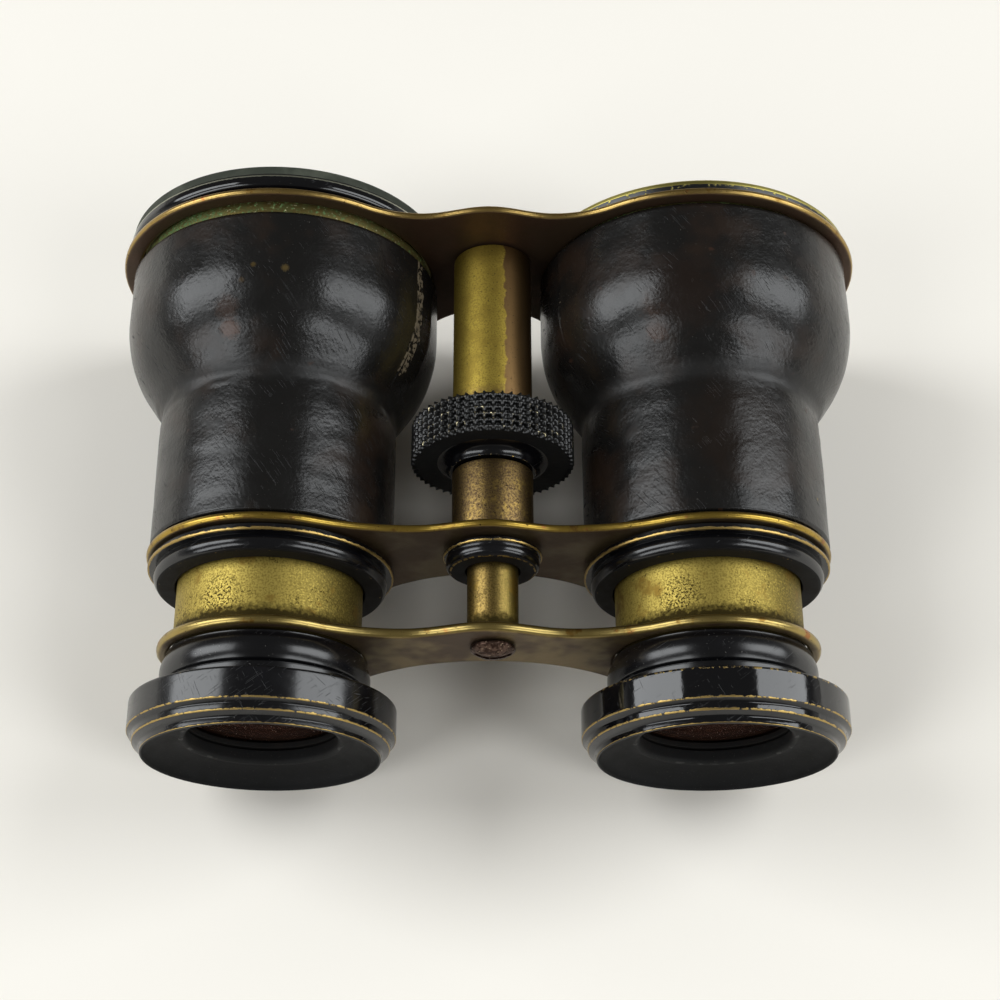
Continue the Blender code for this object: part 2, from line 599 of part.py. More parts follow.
def bridges():
    """The three brass bridges."""
    outline = bridge_outline(EYE_BRIDGE_RING_R, EYE_BRIDGE_LOBE, EYE_BRIDGE_DIP, EYE_BRIDGE_DIP_X,
                             EYE_BRIDGE_ARCH)
    bridge("eyepiece_bridge", outline, EYE_BRIDGE_NEAR, EYE_BRIDGE_THICKNESS, NECK_SOCKET_R,
           SCREW_HOLE_R, eyepieces)
    outline = bridge_outline(MIDDLE_BRIDGE_RING_R, MIDDLE_BRIDGE_LOBE, MIDDLE_BRIDGE_DIP,
                             MIDDLE_BRIDGE_DIP_X, MIDDLE_BRIDGE_ARCH)
    bridge("middle_bridge", outline, MIDDLE_BRIDGE_NEAR, MIDDLE_BRIDGE_THICKNESS, GUIDE_R + SEAT_GAP,
           GLAND_SPIGOT_R + SEAT_GAP, glasses)
    outline = bridge_outline(OBJECTIVE_BRIDGE_RING_R, OBJECTIVE_BRIDGE_LOBE, OBJECTIVE_BRIDGE_DIP,
                             OBJECTIVE_BRIDGE_DIP_X, OBJECTIVE_BRIDGE_ARCH)
    bridge("objective_bridge", outline, OBJECTIVE_BRIDGE_NEAR, OBJECTIVE_BRIDGE_THICKNESS,
           RIM_SOCKET_R, SCREW_HOLE_R, glasses)


def slotted_screw(name, head_near, way, carrier):
    """Domed slotted screw on the column's axis; its shank runs up the axis (way 1) or down it (way -1)."""
    outline = [(-SCREW_HEAD_EDGE - s, r) for s, r in dome(0, SCREW_HEAD_DOME, SCREW_HEAD_R)]
    outline += [(0.0, SCREW_HEAD_R), (0.0, SCREW_SHANK_R), (SCREW_SHANK_LENGTH, SCREW_SHANK_R),
                (SCREW_SHANK_LENGTH, 0.0)]
    if way > 0:
        outline = [(head_near + s, r) for s, r in outline]
    else:
        outline = [(head_near - s, r) for s, r in reversed(outline)]
    screw = turned(name, outline, BROWN_STEEL, carrier, COLUMN_X, COLUMN_LIFT, SMALL_STEPS)
    crown = head_near - way * (SCREW_HEAD_EDGE + SCREW_HEAD_DOME)
    mesh = bpy.data.meshes.new(name + "_slot")
    bm = bmesh.new()
    bmesh.ops.create_cube(bm, size=1)
    bm.to_mesh(mesh)
    bm.free()
    slot = bpy.data.objects.new(name + "_slot", mesh)
    slot.scale = (4 * SCREW_HEAD_R, 2 * SCREW_SLOT_DEPTH, SCREW_SLOT_WIDTH)
    hang(slot, cutters, carrier, (COLUMN_X, crown, COLUMN_LIFT))
    boolean(screw, slot, "DIFFERENCE")


def column():
    """The two column tubes and the gland that guides the rod."""
    plug = UPPER_TUBE_FAR - COLUMN_PLUG_LENGTH
    outline = [(UPPER_TUBE_NEAR, COLUMN_TUBE_R), (UPPER_TUBE_FAR, COLUMN_TUBE_R),
               (UPPER_TUBE_FAR, SCREW_HOLE_R), (plug, SCREW_HOLE_R), (plug, COLUMN_TUBE_BORE_R),
               (UPPER_TUBE_NEAR, COLUMN_TUBE_BORE_R)]
    turned("upper_column_tube", outline, RUBBED_BRASS, glasses, COLUMN_X, COLUMN_LIFT, SMALL_STEPS)
    outline = [(LOWER_TUBE_NEAR, COLUMN_TUBE_R), (LOWER_TUBE_FAR, COLUMN_TUBE_R),
               (LOWER_TUBE_FAR, COLUMN_TUBE_BORE_R), (LOWER_TUBE_NEAR, COLUMN_TUBE_BORE_R)]
    turned("lower_column_tube", outline, RUBBED_BRASS, glasses, COLUMN_X, COLUMN_LIFT, SMALL_STEPS)
    spigot_far = MIDDLE_BRIDGE_FAR + GLAND_SPIGOT_LENGTH
    lip = GLAND_NEAR + GLAND_LIP_WIDTH
    neck = GLAND_FAR - GLAND_NECK_WIDTH
    edge = neck - GLAND_EDGE_WIDTH
    outline = [(GLAND_NEAR, GLAND_FACE_R), (lip, GLAND_FACE_R), (lip + GLAND_SLOPE, GLAND_BEAD_R),
               (edge - GLAND_SLOPE, GLAND_BEAD_R), (edge, GLAND_EDGE_R), (neck, GLAND_EDGE_R),
               (neck, GLAND_NECK_R), (GLAND_FAR, GLAND_NECK_R),
               (GLAND_FAR, GLAND_SPIGOT_R), (spigot_far, GLAND_SPIGOT_R), (spigot_far, ROD_BORE_R),
               (GLAND_NEAR, ROD_BORE_R)]
    turned("column_gland", outline, BLACK_LACQUER, glasses, COLUMN_X, COLUMN_LIFT, SMALL_STEPS)
    slotted_screw("column_screw", OBJECTIVE_BRIDGE_FAR + SEAT_GAP, -1, glasses)


def knurl(rim):
    """Sink a groove at every second step round the rim."""
    freeze(rim)
    for vertex in rim.data.vertices:
        if vertex.co.xy.length < WHEEL_R - KNURL_DEPTH / 2:
            continue
        around = round(atan2(vertex.co.y, vertex.co.x) / (pi / KNURL_COUNT))
        if around % 2 == 1:
            vertex.co.xy *= (WHEEL_R - KNURL_DEPTH) / WHEEL_R


def focus_wheel():
    """Knurled rim on a web and a hub, bored for the nut."""
    rim_bore_r = WHEEL_R - WHEEL_RIM_WALL
    outline = [(RIM_NEAR, WHEEL_R - KNURL_DEPTH), (RIM_NEAR + KNURL_DEPTH, WHEEL_R),
               (RIM_FAR - KNURL_DEPTH, WHEEL_R), (RIM_FAR, WHEEL_R - KNURL_DEPTH),
               (RIM_FAR, rim_bore_r), (RIM_NEAR, rim_bore_r)]
    wheel = turned("focus_wheel", outline, BLACK_LACQUER, focus, COLUMN_X, COLUMN_LIFT, 2 * KNURL_COUNT)
    knurl(wheel)
    web_near = RIM_NEAR + WHEEL_WEB_SINK
    web_far = RIM_FAR - WHEEL_WEB_SINK
    web_r = rim_bore_r + KNURL_DEPTH
    bore_r = NUT_R + SEAT_GAP
    fillet_steps = 3
    fillet = [(web_near - WHEEL_FILLET * (1 - sin(a)), WHEEL_HUB_R + WHEEL_FILLET * (1 - cos(a)))
              for a in [pi / 2 * k / fillet_steps for k in range(fillet_steps + 1)]]
    outline = [(HUB_NEAR, WHEEL_HUB_END_R)] + fillet
    outline += [(web_near, web_r), (web_far, web_r), (web_far, WHEEL_HUB_R), (RIM_FAR, WHEEL_HUB_R),
                (RIM_FAR, bore_r), (HUB_NEAR, bore_r)]
    hub = turned("wheel_hub", outline, BLACK_LACQUER, focus, COLUMN_X, COLUMN_LIFT, SMALL_STEPS)
    boolean(wheel, hub, "UNION")


def focus_nut():
    """Brass sleeve in the wheel: its ends run in the column tubes and its far half is threaded."""
    outline = [(NUT_NEAR, NUT_R), (NUT_FAR, NUT_R), (NUT_FAR, NUT_THREAD_R),
               (NUT_THREAD_NEAR, NUT_THREAD_R), (NUT_THREAD_NEAR, ROD_BORE_R), (NUT_NEAR, ROD_BORE_R)]
    turned("focus_nut", outline, RUBBED_BRASS, focus, COLUMN_X, COLUMN_LIFT, SMALL_STEPS)


def focus_rod():
    """Brass rod from the eyepiece bridge through the gland, with a socket in each end."""
    near_socket = ROD_NEAR + SCREW_SHANK_LENGTH
    far_socket = ROD_FAR - ROD_SOCKET_DEPTH
    socket_r = SPIGOT_R + SEAT_GAP
    outline = [(near_socket, 0.0), (near_socket, SCREW_HOLE_R), (ROD_NEAR, SCREW_HOLE_R), (ROD_NEAR, ROD_R),
               (ROD_FAR, ROD_R), (ROD_FAR, socket_r), (far_socket, socket_r), (far_socket, 0.0)]
    turned("focus_rod", outline, BRIGHT_BRASS, eyepieces, COLUMN_X, COLUMN_LIFT, SMALL_STEPS)


def focus_screw():
    """Coarse screw with several starts: a lobed section that turns as it climbs, on a plain spigot."""
    count = THREAD_STARTS * THREAD_LOBE_STEPS
    thread = THREAD_FAR - THREAD_NEAR
    turns = thread / SCREW_LEAD
    climbs = round(turns * THREAD_TURN_STEPS)
    spigot_near = ROD_FAR - ROD_SOCKET_DEPTH + SEAT_GAP
    plain = [SPIGOT_R] * count
    lobed = [THREAD_R - THREAD_DEPTH * (1 - cos(2 * pi * k / THREAD_LOBE_STEPS)) / 2 for k in range(count)]
    sections = [(spigot_near, plain, 0.0), (THREAD_NEAR, plain, 0.0)]
    for climb in [k / climbs for k in range(climbs + 1)]:
        sections.append((THREAD_NEAR + thread * climb, lobed, 2 * pi * turns * climb))
    mesh = bpy.data.meshes.new("focus_screw")
    bm = bmesh.new()
    rings = []
    for station, radii, turn in sections:
        angles = [turn + 2 * pi * k / count for k in range(count)]
        rings.append([bm.verts.new((r * cos(a), r * sin(a), station)) for r, a in zip(radii, angles)])
    for below, above in zip(rings, rings[1:]):
        for k in range(count):
            bm.faces.new((below[k], below[(k + 1) % count], above[(k + 1) % count], above[k]))
    bm.faces.new(list(reversed(rings[0])))
    bm.faces.new(rings[-1])
    bm.to_mesh(mesh)
    bm.free()
    mesh.shade_smooth()
    mesh.set_sharp_from_angle(angle=radians(40))
    screw = add_piece("focus_screw", mesh, BRIGHT_STEEL, eyepieces, (COLUMN_X, 0, COLUMN_LIFT))
    screw.rotation_euler = (-pi / 2, 0, 0)


def lay_down():
    """Lean the glasses back on their rests, lowest point on the floor and middle over the origin."""
    glasses.rotation_euler = (LIE_ANGLE, 0, 0)
    bpy.context.view_layer.update()
    depsgraph = bpy.context.evaluated_depsgraph_get()
    corners = []
    for piece in parts.objects:
        if piece.type == "EMPTY":
            continue
        evaluated = piece.evaluated_get(depsgraph)
        mesh = evaluated.to_mesh()
        corners += [evaluated.matrix_world @ vertex.co for vertex in mesh.vertices]
        evaluated.to_mesh_clear()
    low = [min(corner[k] for corner in corners) for k in range(3)]
    high = [max(corner[k] for corner in corners) for k in range(3)]
    glasses.location = (-(low[0] + high[0]) / 2, -(low[1] + high[1]) / 2, -low[2])


clear_scene()
parts = new_collection("field_glasses")
cutters = new_collection("cutters")
glasses = new_empty("glasses")
eyepieces = new_empty("eyepieces", glasses, (COLUMN_X, EYE_BRIDGE_NEAR, COLUMN_LIFT))
focus = new_empty("focus", glasses, (COLUMN_X, RIM_NEAR, COLUMN_LIFT))

bridges()
for side, x in (("left", -EYE_SPACING / 2), ("right", EYE_SPACING / 2)):
    barrel_shell(side, x)
    leather_cover(side, x, LEFT_LEATHER_SHORT_BY if side == "left" else 0)
    objective(side, x)
    guide_collar(side, x)
    draw_tube(side, x)
    eyepiece_neck(side, x)
    eyecup(side, x)
    eye_lens(side, x)
objective_bezel(-EYE_SPACING / 2)
objective_rim(EYE_SPACING / 2)
column()
focus_wheel()
focus_nut()
focus_rod()
focus_screw()
slotted_screw("rod_screw", EYE_BRIDGE_NEAR - SEAT_GAP, 1, eyepieces)
lay_down()
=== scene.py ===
"""The looks of the field glasses: turned brass, black japan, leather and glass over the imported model.

Every piece is drawn in millimetres in the glasses' own upright frame: X runs across them, Y is the station
along the optical axes from the eyecups' face, and Z is height above the plane of the axes. UPRIGHT then
lays each piece on the table, where the model has it.
"""

import json
from math import atan2, cos, hypot, pi, radians, sin, sqrt, tan

import bmesh
import bpy
import numpy as np
from mathutils import Matrix, Vector, noise


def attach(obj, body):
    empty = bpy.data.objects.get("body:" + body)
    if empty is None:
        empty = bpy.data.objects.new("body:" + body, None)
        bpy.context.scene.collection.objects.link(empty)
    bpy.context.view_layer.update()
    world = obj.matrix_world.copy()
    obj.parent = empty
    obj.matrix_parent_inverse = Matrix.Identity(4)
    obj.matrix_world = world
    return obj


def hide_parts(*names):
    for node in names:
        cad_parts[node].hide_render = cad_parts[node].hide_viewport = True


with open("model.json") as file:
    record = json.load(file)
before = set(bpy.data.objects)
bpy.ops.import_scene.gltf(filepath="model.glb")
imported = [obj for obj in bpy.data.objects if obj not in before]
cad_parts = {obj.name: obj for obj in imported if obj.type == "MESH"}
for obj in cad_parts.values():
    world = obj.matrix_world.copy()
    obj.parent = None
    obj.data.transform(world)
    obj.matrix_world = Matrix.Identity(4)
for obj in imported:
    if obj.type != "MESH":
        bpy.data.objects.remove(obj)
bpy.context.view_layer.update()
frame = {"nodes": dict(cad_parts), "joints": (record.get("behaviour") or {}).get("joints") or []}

MM = 0.001

# Layout, in millimetres
BARREL_X = 31.0
COLUMN_X = 0.55
COLUMN_LIFT = 6.4
WHEEL_STATION = 44.25
WHEEL_R = 11.7

# The barrel's bell: waist and swelling radius, the two bends and the slope between them, and its start
WAIST_R = 16.1
SWELL_R = 22.0
HOLLOW_BEND_R = 4.5
SWELL_BEND_R = 17.0
BEND_SLOPE = radians(34)
BEND_START = 50.0
LEATHER_NEAR = 29.5
LEATHER_FAR = {"left": 73.4, "right": 74.9}
LEATHER_STANDS_OUT = 1.1

# The leather's own marks: place on the barrel, width, softness and colour
LEATHER_MARKS = {
    "left": [((-5.6, 58.6, 21.3), 1.2, 0.9, "26180f"), ((-5.2, 55.7, 20.2), 1.0, 0.9, "3a2213"),
             ((-1.9, 64.5, 23.0), 0.25, 1.0, "3f331a"), ((2.6, 64.0, 23.0), 0.36, 1.0, "463a20"),
             ((-3.5, 62.2, 22.7), 0.3, 1.0, "332818"), ((3.2, 56.9, 21.4), 0.27, 0.1, "e6c24a"),
             ((7.0, 50.3, 16.0), 0.17, 0.1, "a89245")],
    "right": [((-7.8, 59.3, 21.0), 1.5, 0.9, "2e1c10"), ((-7.6, 55.9, 19.4), 1.1, 0.9, "321e11"),
              ((-4.4, 60.8, 22.2), 3.4, 1.2, "19120e"), ((4.0, 42.0, 16.6), 5.0, 1.2, "18120e"),
              ((14.6, 34.6, 9.2), 0.35, 0.1, "a88c36")]}

# Where specks have pitted the draw tubes, and where damp leather has turned the bells green
PITTED_PLACE = (-5.2, 19.0, 12.0)
DAMP_PLACE = (-13.0, 75.0, 17.5)

# Turned pieces: steps round, how far rubbed wear fades beside an edge, and an edge's usual rounding
STEPS = 224
WEAR_FADE = 0.3
EDGE_ROUNDING = 0.08

# In a profile, which of the piece's own finishes the next faces take: its first, second or third
OUTSIDE = 0
INSIDE = 1
KNURLED = 1
FADED = 2

SIDES = (("left", -BARREL_X), ("right", BARREL_X))

# The camera: its place in the glasses' upright frame, its tilt, its lens on a 36 mm sensor and its shift
CAMERA_PLACE = (0.0, -65.21, 224.40)
CAMERA_TILT = radians(24.877)
CAMERA_LENS = 61.17
CAMERA_SENSOR = 36.0
CAMERA_SHIFT = 0.01125

focus_joint = next(joint for joint in frame["joints"] if joint["name"] == "focus_turn")
lean = Matrix.Rotation(atan2(focus_joint["axis"][2], focus_joint["axis"][1]), 4, "X")
wheel_centre = Vector((COLUMN_X, WHEEL_STATION, COLUMN_LIFT)) * MM
UPRIGHT = Matrix.Translation(Vector(focus_joint["pos_m"]) - lean @ wheel_centre) @ lean


# Shapes

def new_object(name, data):
    """A new object in the scene."""
    made = bpy.data.objects.new(name, data)
    bpy.context.scene.collection.objects.link(made)
    return made


def seat(piece, x, z, body, *nodes):
    """Put a piece at its place in the glasses, on its body, in place of its nodes in the model."""
    piece.matrix_world = UPRIGHT @ Matrix.Translation(Vector((x, 0, z)) * MM)
    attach(piece, body)
    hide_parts(*nodes)
    return piece


def trace(profile):
    """Points along a profile with its corners rounded: station, radius, wear and finish of each.

    A corner is (station, radius), and may add its rounding and its wear. A bare number is the finish of
    the faces that follow. A profile whose first radius isn't 0 is closed.
    """
    corners = []
    finish = OUTSIDE
    for item in profile:
        if isinstance(item, int):
            finish = item
        else:
            corners.append((*item, *(EDGE_ROUNDING, 0.0)[len(item) - 2:], finish))
    closed = corners[0][1] > 0
    points = []
    for k, (station, radius, rounding, wear, finish) in enumerate(corners):
        if not closed and k in (0, len(corners) - 1) or rounding == 0:
            points.append((station, radius, wear, finish))
            continue
        last = corners[k - 1]
        after = corners[(k + 1) % len(corners)]
        back = hypot(last[0] - station, last[1] - radius)
        on = hypot(after[0] - station, after[1] - radius)
        cut = min(rounding, 0.48 * back, 0.48 * on)

        def along(other, reach, length):
            """The point on the way to another corner."""
            share = reach / length
            return station + (other[0] - station) * share, radius + (other[1] - radius) * share

        start = along(last, cut, back)
        end = along(after, cut, on)
        fade = cut + WEAR_FADE
        if wear and fade < 0.49 * back:
            points.append((*along(last, fade, back), 0.0, last[4]))
        steps = 4 if cut < 0.6 else 8
        for j in range(steps + 1):
            t = j / steps
            here = [a * (1 - t) ** 2 + 2 * c * t * (1 - t) + b * t ** 2
                    for a, c, b in zip(start, (station, radius), end)]
            points.append((*here, wear, last[4] if j < steps else finish))
        if wear and fade < 0.49 * on:
            points.append((*along(after, fade, on), 0.0, finish))
    return points, closed


def turned(name, profile, x, z, finishes, body, *nodes, steps=STEPS, shape=None):
    """Turn a profile about an axis that runs along the glasses, with the wear of its edges on its points.

    shape may change the stations, radii and wear, all of them arrays of profile points by steps round.
    """
    points, closed = trace(profile)
    stations, radii, wear = (np.repeat(np.array(column)[:, None], steps, axis=1)
                             for column in list(zip(*points))[:3])
    angles = np.arange(steps) * 2 * pi / steps
    if shape:
        stations, radii, wear = shape(stations, radii, wear, angles)
    corners = np.stack([radii * np.cos(angles), stations, radii * np.sin(angles)], axis=2)
    vertices = []
    vertex_wear = []
    rings = []
    for corner_row, wear_row in zip(corners, wear):
        at_axis = hypot(corner_row[0][0], corner_row[0][2]) < 1e-6
        count = 1 if at_axis else steps
        first = len(vertices)
        vertices += corner_row[:count].tolist()
        vertex_wear += wear_row[:count].tolist()
        rings.append([first + (0 if at_axis else k) for k in range(steps)])
    faces = []
    face_finish = []
    pairs = [(k, (k + 1) % len(rings)) for k in range(len(rings) if closed else len(rings) - 1)]
    for near, far in pairs:
        for k in range(steps):
            j = (k + 1) % steps
            loop = (rings[near][k], rings[far][k], rings[far][j], rings[near][j])
            faces.append(list(dict.fromkeys(loop)))
            face_finish.append(points[near][3])
    mesh = bpy.data.meshes.new(name)
    mesh.from_pydata(vertices, [], faces)
    mesh.transform(Matrix.Scale(MM, 4))
    mesh.attributes.new("wear", "FLOAT", "POINT").data.foreach_set("value", vertex_wear)
    for finish in finishes:
        mesh.materials.append(finish)
    mesh.polygons.foreach_set("material_index", face_finish)
    mesh.shade_smooth()
    return seat(new_object(name, mesh), x, z, body, *nodes)


def dome(edge, sag, radius, count=12):
    """Corners from the axis to the edge of a ball-shaped face that stands out by its sag in the middle."""
    ball = (radius ** 2 + sag ** 2) / (2 * abs(sag))
    way = 1 if sag > 0 else -1
    rings = [radius * k / count for k in range(count + 1)]
    return [(edge + way * (sqrt(ball ** 2 - r ** 2) - ball + abs(sag)), r, 0.0) for r in rings]


def bell(station, offset=0.0):
    """The barrel's radius at a station, moved outwards by an offset."""
    hollow = HOLLOW_BEND_R - offset
    swell = SWELL_BEND_R + offset
    bends = HOLLOW_BEND_R + SWELL_BEND_R
    straight = (SWELL_R - WAIST_R - bends * (1 - cos(BEND_SLOPE))) / tan(BEND_SLOPE)
    bend_end = BEND_START + bends * sin(BEND_SLOPE) + straight
    if station < BEND_START:
        return WAIST_R + offset
    if station < BEND_START + hollow * sin(BEND_SLOPE):
        return WAIST_R + HOLLOW_BEND_R - sqrt(hollow ** 2 - (station - BEND_START) ** 2)
    if station < bend_end - swell * sin(BEND_SLOPE):
        run = station - BEND_START - hollow * sin(BEND_SLOPE)
        return WAIST_R + HOLLOW_BEND_R - hollow * cos(BEND_SLOPE) + run * tan(BEND_SLOPE)
    if station < bend_end:
        return SWELL_R - SWELL_BEND_R + sqrt(swell ** 2 - (bend_end - station) ** 2)
    return SWELL_R + offset


def arc(centre, radius, start, end, step=radians(2)):
    """Points on an arc from one angle to another."""
    count = max(2, round(abs(end - start) / step))
    angles = [start + (end - start) * k / count for k in range(count + 1)]
    return [(centre[0] + radius * cos(a), centre[1] + radius * sin(a)) for a in angles]


def bridge_outline(ring_r, lobe, dip, dip_x, arch):
    """The bridge's edge: a lobe over the column, hollow curves into both rings, and an arch underneath."""
    lobe_steps = 14
    crest = [(dip_x * k / lobe_steps, dip + (lobe - dip) * (1 + cos(pi * k / lobe_steps)) / 2)
             for k in range(lobe_steps)]
    top_r = ((BARREL_X - dip_x) ** 2 + dip ** 2 - ring_r ** 2) / (2 * (ring_r - dip))
    top_centre = (dip_x, dip + top_r)
    top_meet = atan2(top_centre[1], top_centre[0] - BARREL_X)
    arch_r = (BARREL_X ** 2 + arch ** 2 - ring_r ** 2) / (2 * (ring_r + arch))
    arch_centre = (0.0, arch - arch_r)
    arch_meet = atan2(arch_centre[1], -BARREL_X)
    right = crest
    right += arc(top_centre, top_r, -pi / 2, top_meet - pi)[:-1]
    right += arc((BARREL_X, 0), ring_r, top_meet, arch_meet)
    right += arc(arch_centre, arch_r, arch_meet + pi, pi / 2)[1:]
    left = [(-x, z) for x, z in reversed(right[1:-1])]
    return right + left


def bridge(node, outline, near, far, ring_hole, column_hole, edge_rounding, finish, body):
    """A bridge of sheet brass with filed round edges, and holes for the barrels and the column."""
    curve = bpy.data.curves.new(node + "_outline", "CURVE")
    curve.dimensions = "2D"
    curve.fill_mode = "BOTH"
    curve.extrude = ((far - near) / 2 - edge_rounding) * MM
    curve.bevel_depth = edge_rounding * MM
    curve.bevel_resolution = 3
    curve.offset = -edge_rounding * MM
    holes = [arc((x, 0), ring_hole, 0, 2 * pi)[:-1] for _, x in SIDES]
    holes.append(arc((COLUMN_X, COLUMN_LIFT), column_hole, 0, 2 * pi, radians(6))[:-1])
    for points in [outline] + holes:
        spline = curve.splines.new("POLY")
        spline.points.add(len(points) - 1)
        for point, (x, z) in zip(spline.points, points):
            point.co = (x * MM, z * MM, 0, 1)
        spline.use_cyclic_u = True
    cut = new_object(node + "_cut", curve)
    bpy.context.view_layer.update()
    mesh = bpy.data.meshes.new_from_object(cut.evaluated_get(bpy.context.evaluated_depsgraph_get()))
    bpy.data.objects.remove(cut)
    mesh.transform(Matrix.Translation((0, (near + far) / 2 * MM, 0)) @ Matrix.Rotation(pi / 2, 4, "X"))
    weld(mesh)
    mesh.shade_smooth()
    for face in mesh.polygons:
        face.use_smooth = abs(face.normal.y) < 0.99
    mesh.materials.clear()
    mesh.materials.append(finish)
    return seat(new_object(node + "_plate", mesh), 0, 0, body, node)


def weld(mesh):
    """Join the points of a mesh that lie on one another."""
    bm = bmesh.new()
    bm.from_mesh(mesh)
    bmesh.ops.remove_doubles(bm, verts=bm.verts, dist=0.001 * MM)
    bmesh.ops.recalc_face_normals(bm, faces=bm.faces)
    bm.to_mesh(mesh)
    bm.free()


# Finishes

def tone(hex_colour):
    """An sRGB hex colour as a linear colour."""
    values = [int(hex_colour[k:k + 2], 16) / 255 for k in (0, 2, 4)]
    return (*[v / 12.92 if v <= 0.04045 else ((v + 0.055) / 1.055) ** 2.4 for v in values], 1.0)


def add(tree, kind, feeds=None, **settings):
    """Add a node, with its settings, the values of its inputs, and the nodes that feed them."""
    node = tree.nodes.new("ShaderNode" + kind)
    for setting, value in settings.items():
        setattr(node, setting, value)
    inputs = [socket for socket in node.inputs if socket.enabled]
    for key, feed in (feeds or {}).items():
        socket = inputs[key] if isinstance(key, int) else next(s for s in inputs if s.name == key)
        if isinstance(feed, tuple) and isinstance(feed[0], bpy.types.Node):
            tree.links.new(feed[0].outputs[feed[1]], socket)
        elif isinstance(feed, bpy.types.Node):
            tree.links.new(next(s for s in feed.outputs if s.enabled), socket)
        else:
            socket.default_value = feed
    return node


def new_finish(name):
    """A new material's nodes, with a Principled shader in them."""
    material = bpy.data.materials.new(name)
    material.use_nodes = True
    return material, material.node_tree


def measure(tree, size, seed=0.0, turn=(0, 0, 0)):
    """The piece's own coordinates, turned, in which one unit is a real size in millimetres."""
    sizes = size if isinstance(size, tuple) else (size, size, size)
    own = add(tree, "TexCoord")
    return add(tree, "Mapping", {
        "Vector": (own, "Object"), "Location": (seed * 0.137, seed * 0.071, seed * 0.193),
        "Rotation": turn, "Scale": [s * MM for s in sizes]}, vector_type="TEXTURE")


def patches(tree, size, low, high, seed=0.0, turn=(0, 0, 0), detail=3.0):
    """Patches of a real size in millimetres: 0 where the noise is below low, and 1 above high."""
    cloud = add(tree, "TexNoise", {"Vector": measure(tree, size, seed, turn), "Scale": 1.0,
                                   "Detail": detail, "Roughness": 0.6})
    return add(tree, "MapRange", {"Value": cloud, "From Min": low, "From Max": high},
               interpolation_type="SMOOTHSTEP")


def hairlines(tree, length, width, share, seed, turn):
    """Fine straight scratches of a real length and width; a smaller share leaves more of them."""
    return patches(tree, (length, width, length), 0.5 + share, 0.54 + share, seed, turn, 1.0)


def rubbed(tree, start, seed, size=0.7, raggedness=1.6):
    """Where edges have rubbed through: the wear on the mesh's points, broken up by a patchy noise."""
    wear = add(tree, "Attribute", attribute_name="wear")
    cloud = add(tree, "TexNoise", {"Vector": measure(tree, size, seed), "Scale": 1.0, "Detail": 3.0,
                                   "Roughness": 0.65})
    ragged = add(tree, "Math", {0: cloud, 1: raggedness, 2: (wear, "Fac")}, operation="MULTIPLY_ADD")
    return add(tree, "MapRange", {"Value": ragged, "From Min": start, "From Max": start + 0.08})


def past(tree, axis, start, end, seed, ragged=1.0, size=0.8):
    """0 before start and 1 past end along one of the piece's axes, in millimetres, ragged between them."""
    own = add(tree, "TexCoord")
    place = add(tree, "SeparateXYZ", {0: (own, "Object")})
    cloud = add(tree, "TexNoise", {"Vector": measure(tree, size, seed), "Scale": 1.0, "Detail": 4.0})
    broken = add(tree, "Math", {0: cloud, 1: ragged * MM, 2: (place, axis)}, operation="MULTIPLY_ADD")
    return add(tree, "MapRange", {"Value": broken, "From Min": (start + ragged / 2) * MM,
                                  "From Max": (end + ragged / 2) * MM})


def spot(tree, place, width, softness, seed):
    """A ragged spot of a width at a place of the piece, both in millimetres."""
    own = add(tree, "TexCoord")
    reach = add(tree, "VectorMath", {0: (own, "Object"), 1: [c * MM for c in place]}, operation="DISTANCE")
    cloud = add(tree, "TexNoise", {"Vector": measure(tree, width * 0.4, seed), "Scale": 1.0, "Detail": 4.0})
    ragged = add(tree, "Math", {0: cloud, 1: -1.8 * width * MM, 2: (reach, "Value")},
                 operation="MULTIPLY_ADD")
    return add(tree, "MapRange", {"Value": ragged, "From Min": width * softness * MM, "From Max": 0.0})


def both(tree, first, second):
    """Where two patterns overlap."""
    return add(tree, "Math", {0: first, 1: second}, operation="MULTIPLY")


def lay_coats(tree, ground, coats=(), relief=()):
    """Build a finish from its ground up.

    The ground and the coats give colour (sRGB hex), metal and rough. A coat also has its mask, and may have
    a height in millimetres. relief adds (pattern, height in millimetres) to the surface.
    """
    shader = tree.nodes["Principled BSDF"]
    for socket, key, kind, read in (("Base Color", "colour", "RGBA", tone),
                                    ("Metallic", "metal", "FLOAT", float),
                                    ("Roughness", "rough", "FLOAT", float)):
        value = read(ground[key])
        for coat in coats:
            if key in coat and read(coat[key]) != value:
                value = add(tree, "Mix", {"Factor": coat["mask"], "A": value, "B": read(coat[key])},
                            data_type=kind)
        if isinstance(value, bpy.types.Node):
            tree.links.new(next(s for s in value.outputs if s.enabled), shader.inputs[socket])
        else:
            shader.inputs[socket].default_value = value
    steps = list(relief) + [(coat["mask"], coat["height"]) for coat in coats if "height" in coat]
    height = 0.0
    for pattern, reach in steps:
        height = add(tree, "Math", {0: pattern, 1: reach, 2: height}, operation="MULTIPLY_ADD")
    if steps:
        bump = add(tree, "Bump", {"Height": height, "Distance": MM, "Strength": 1.0})
        tree.links.new(bump.outputs["Normal"], shader.inputs["Normal"])


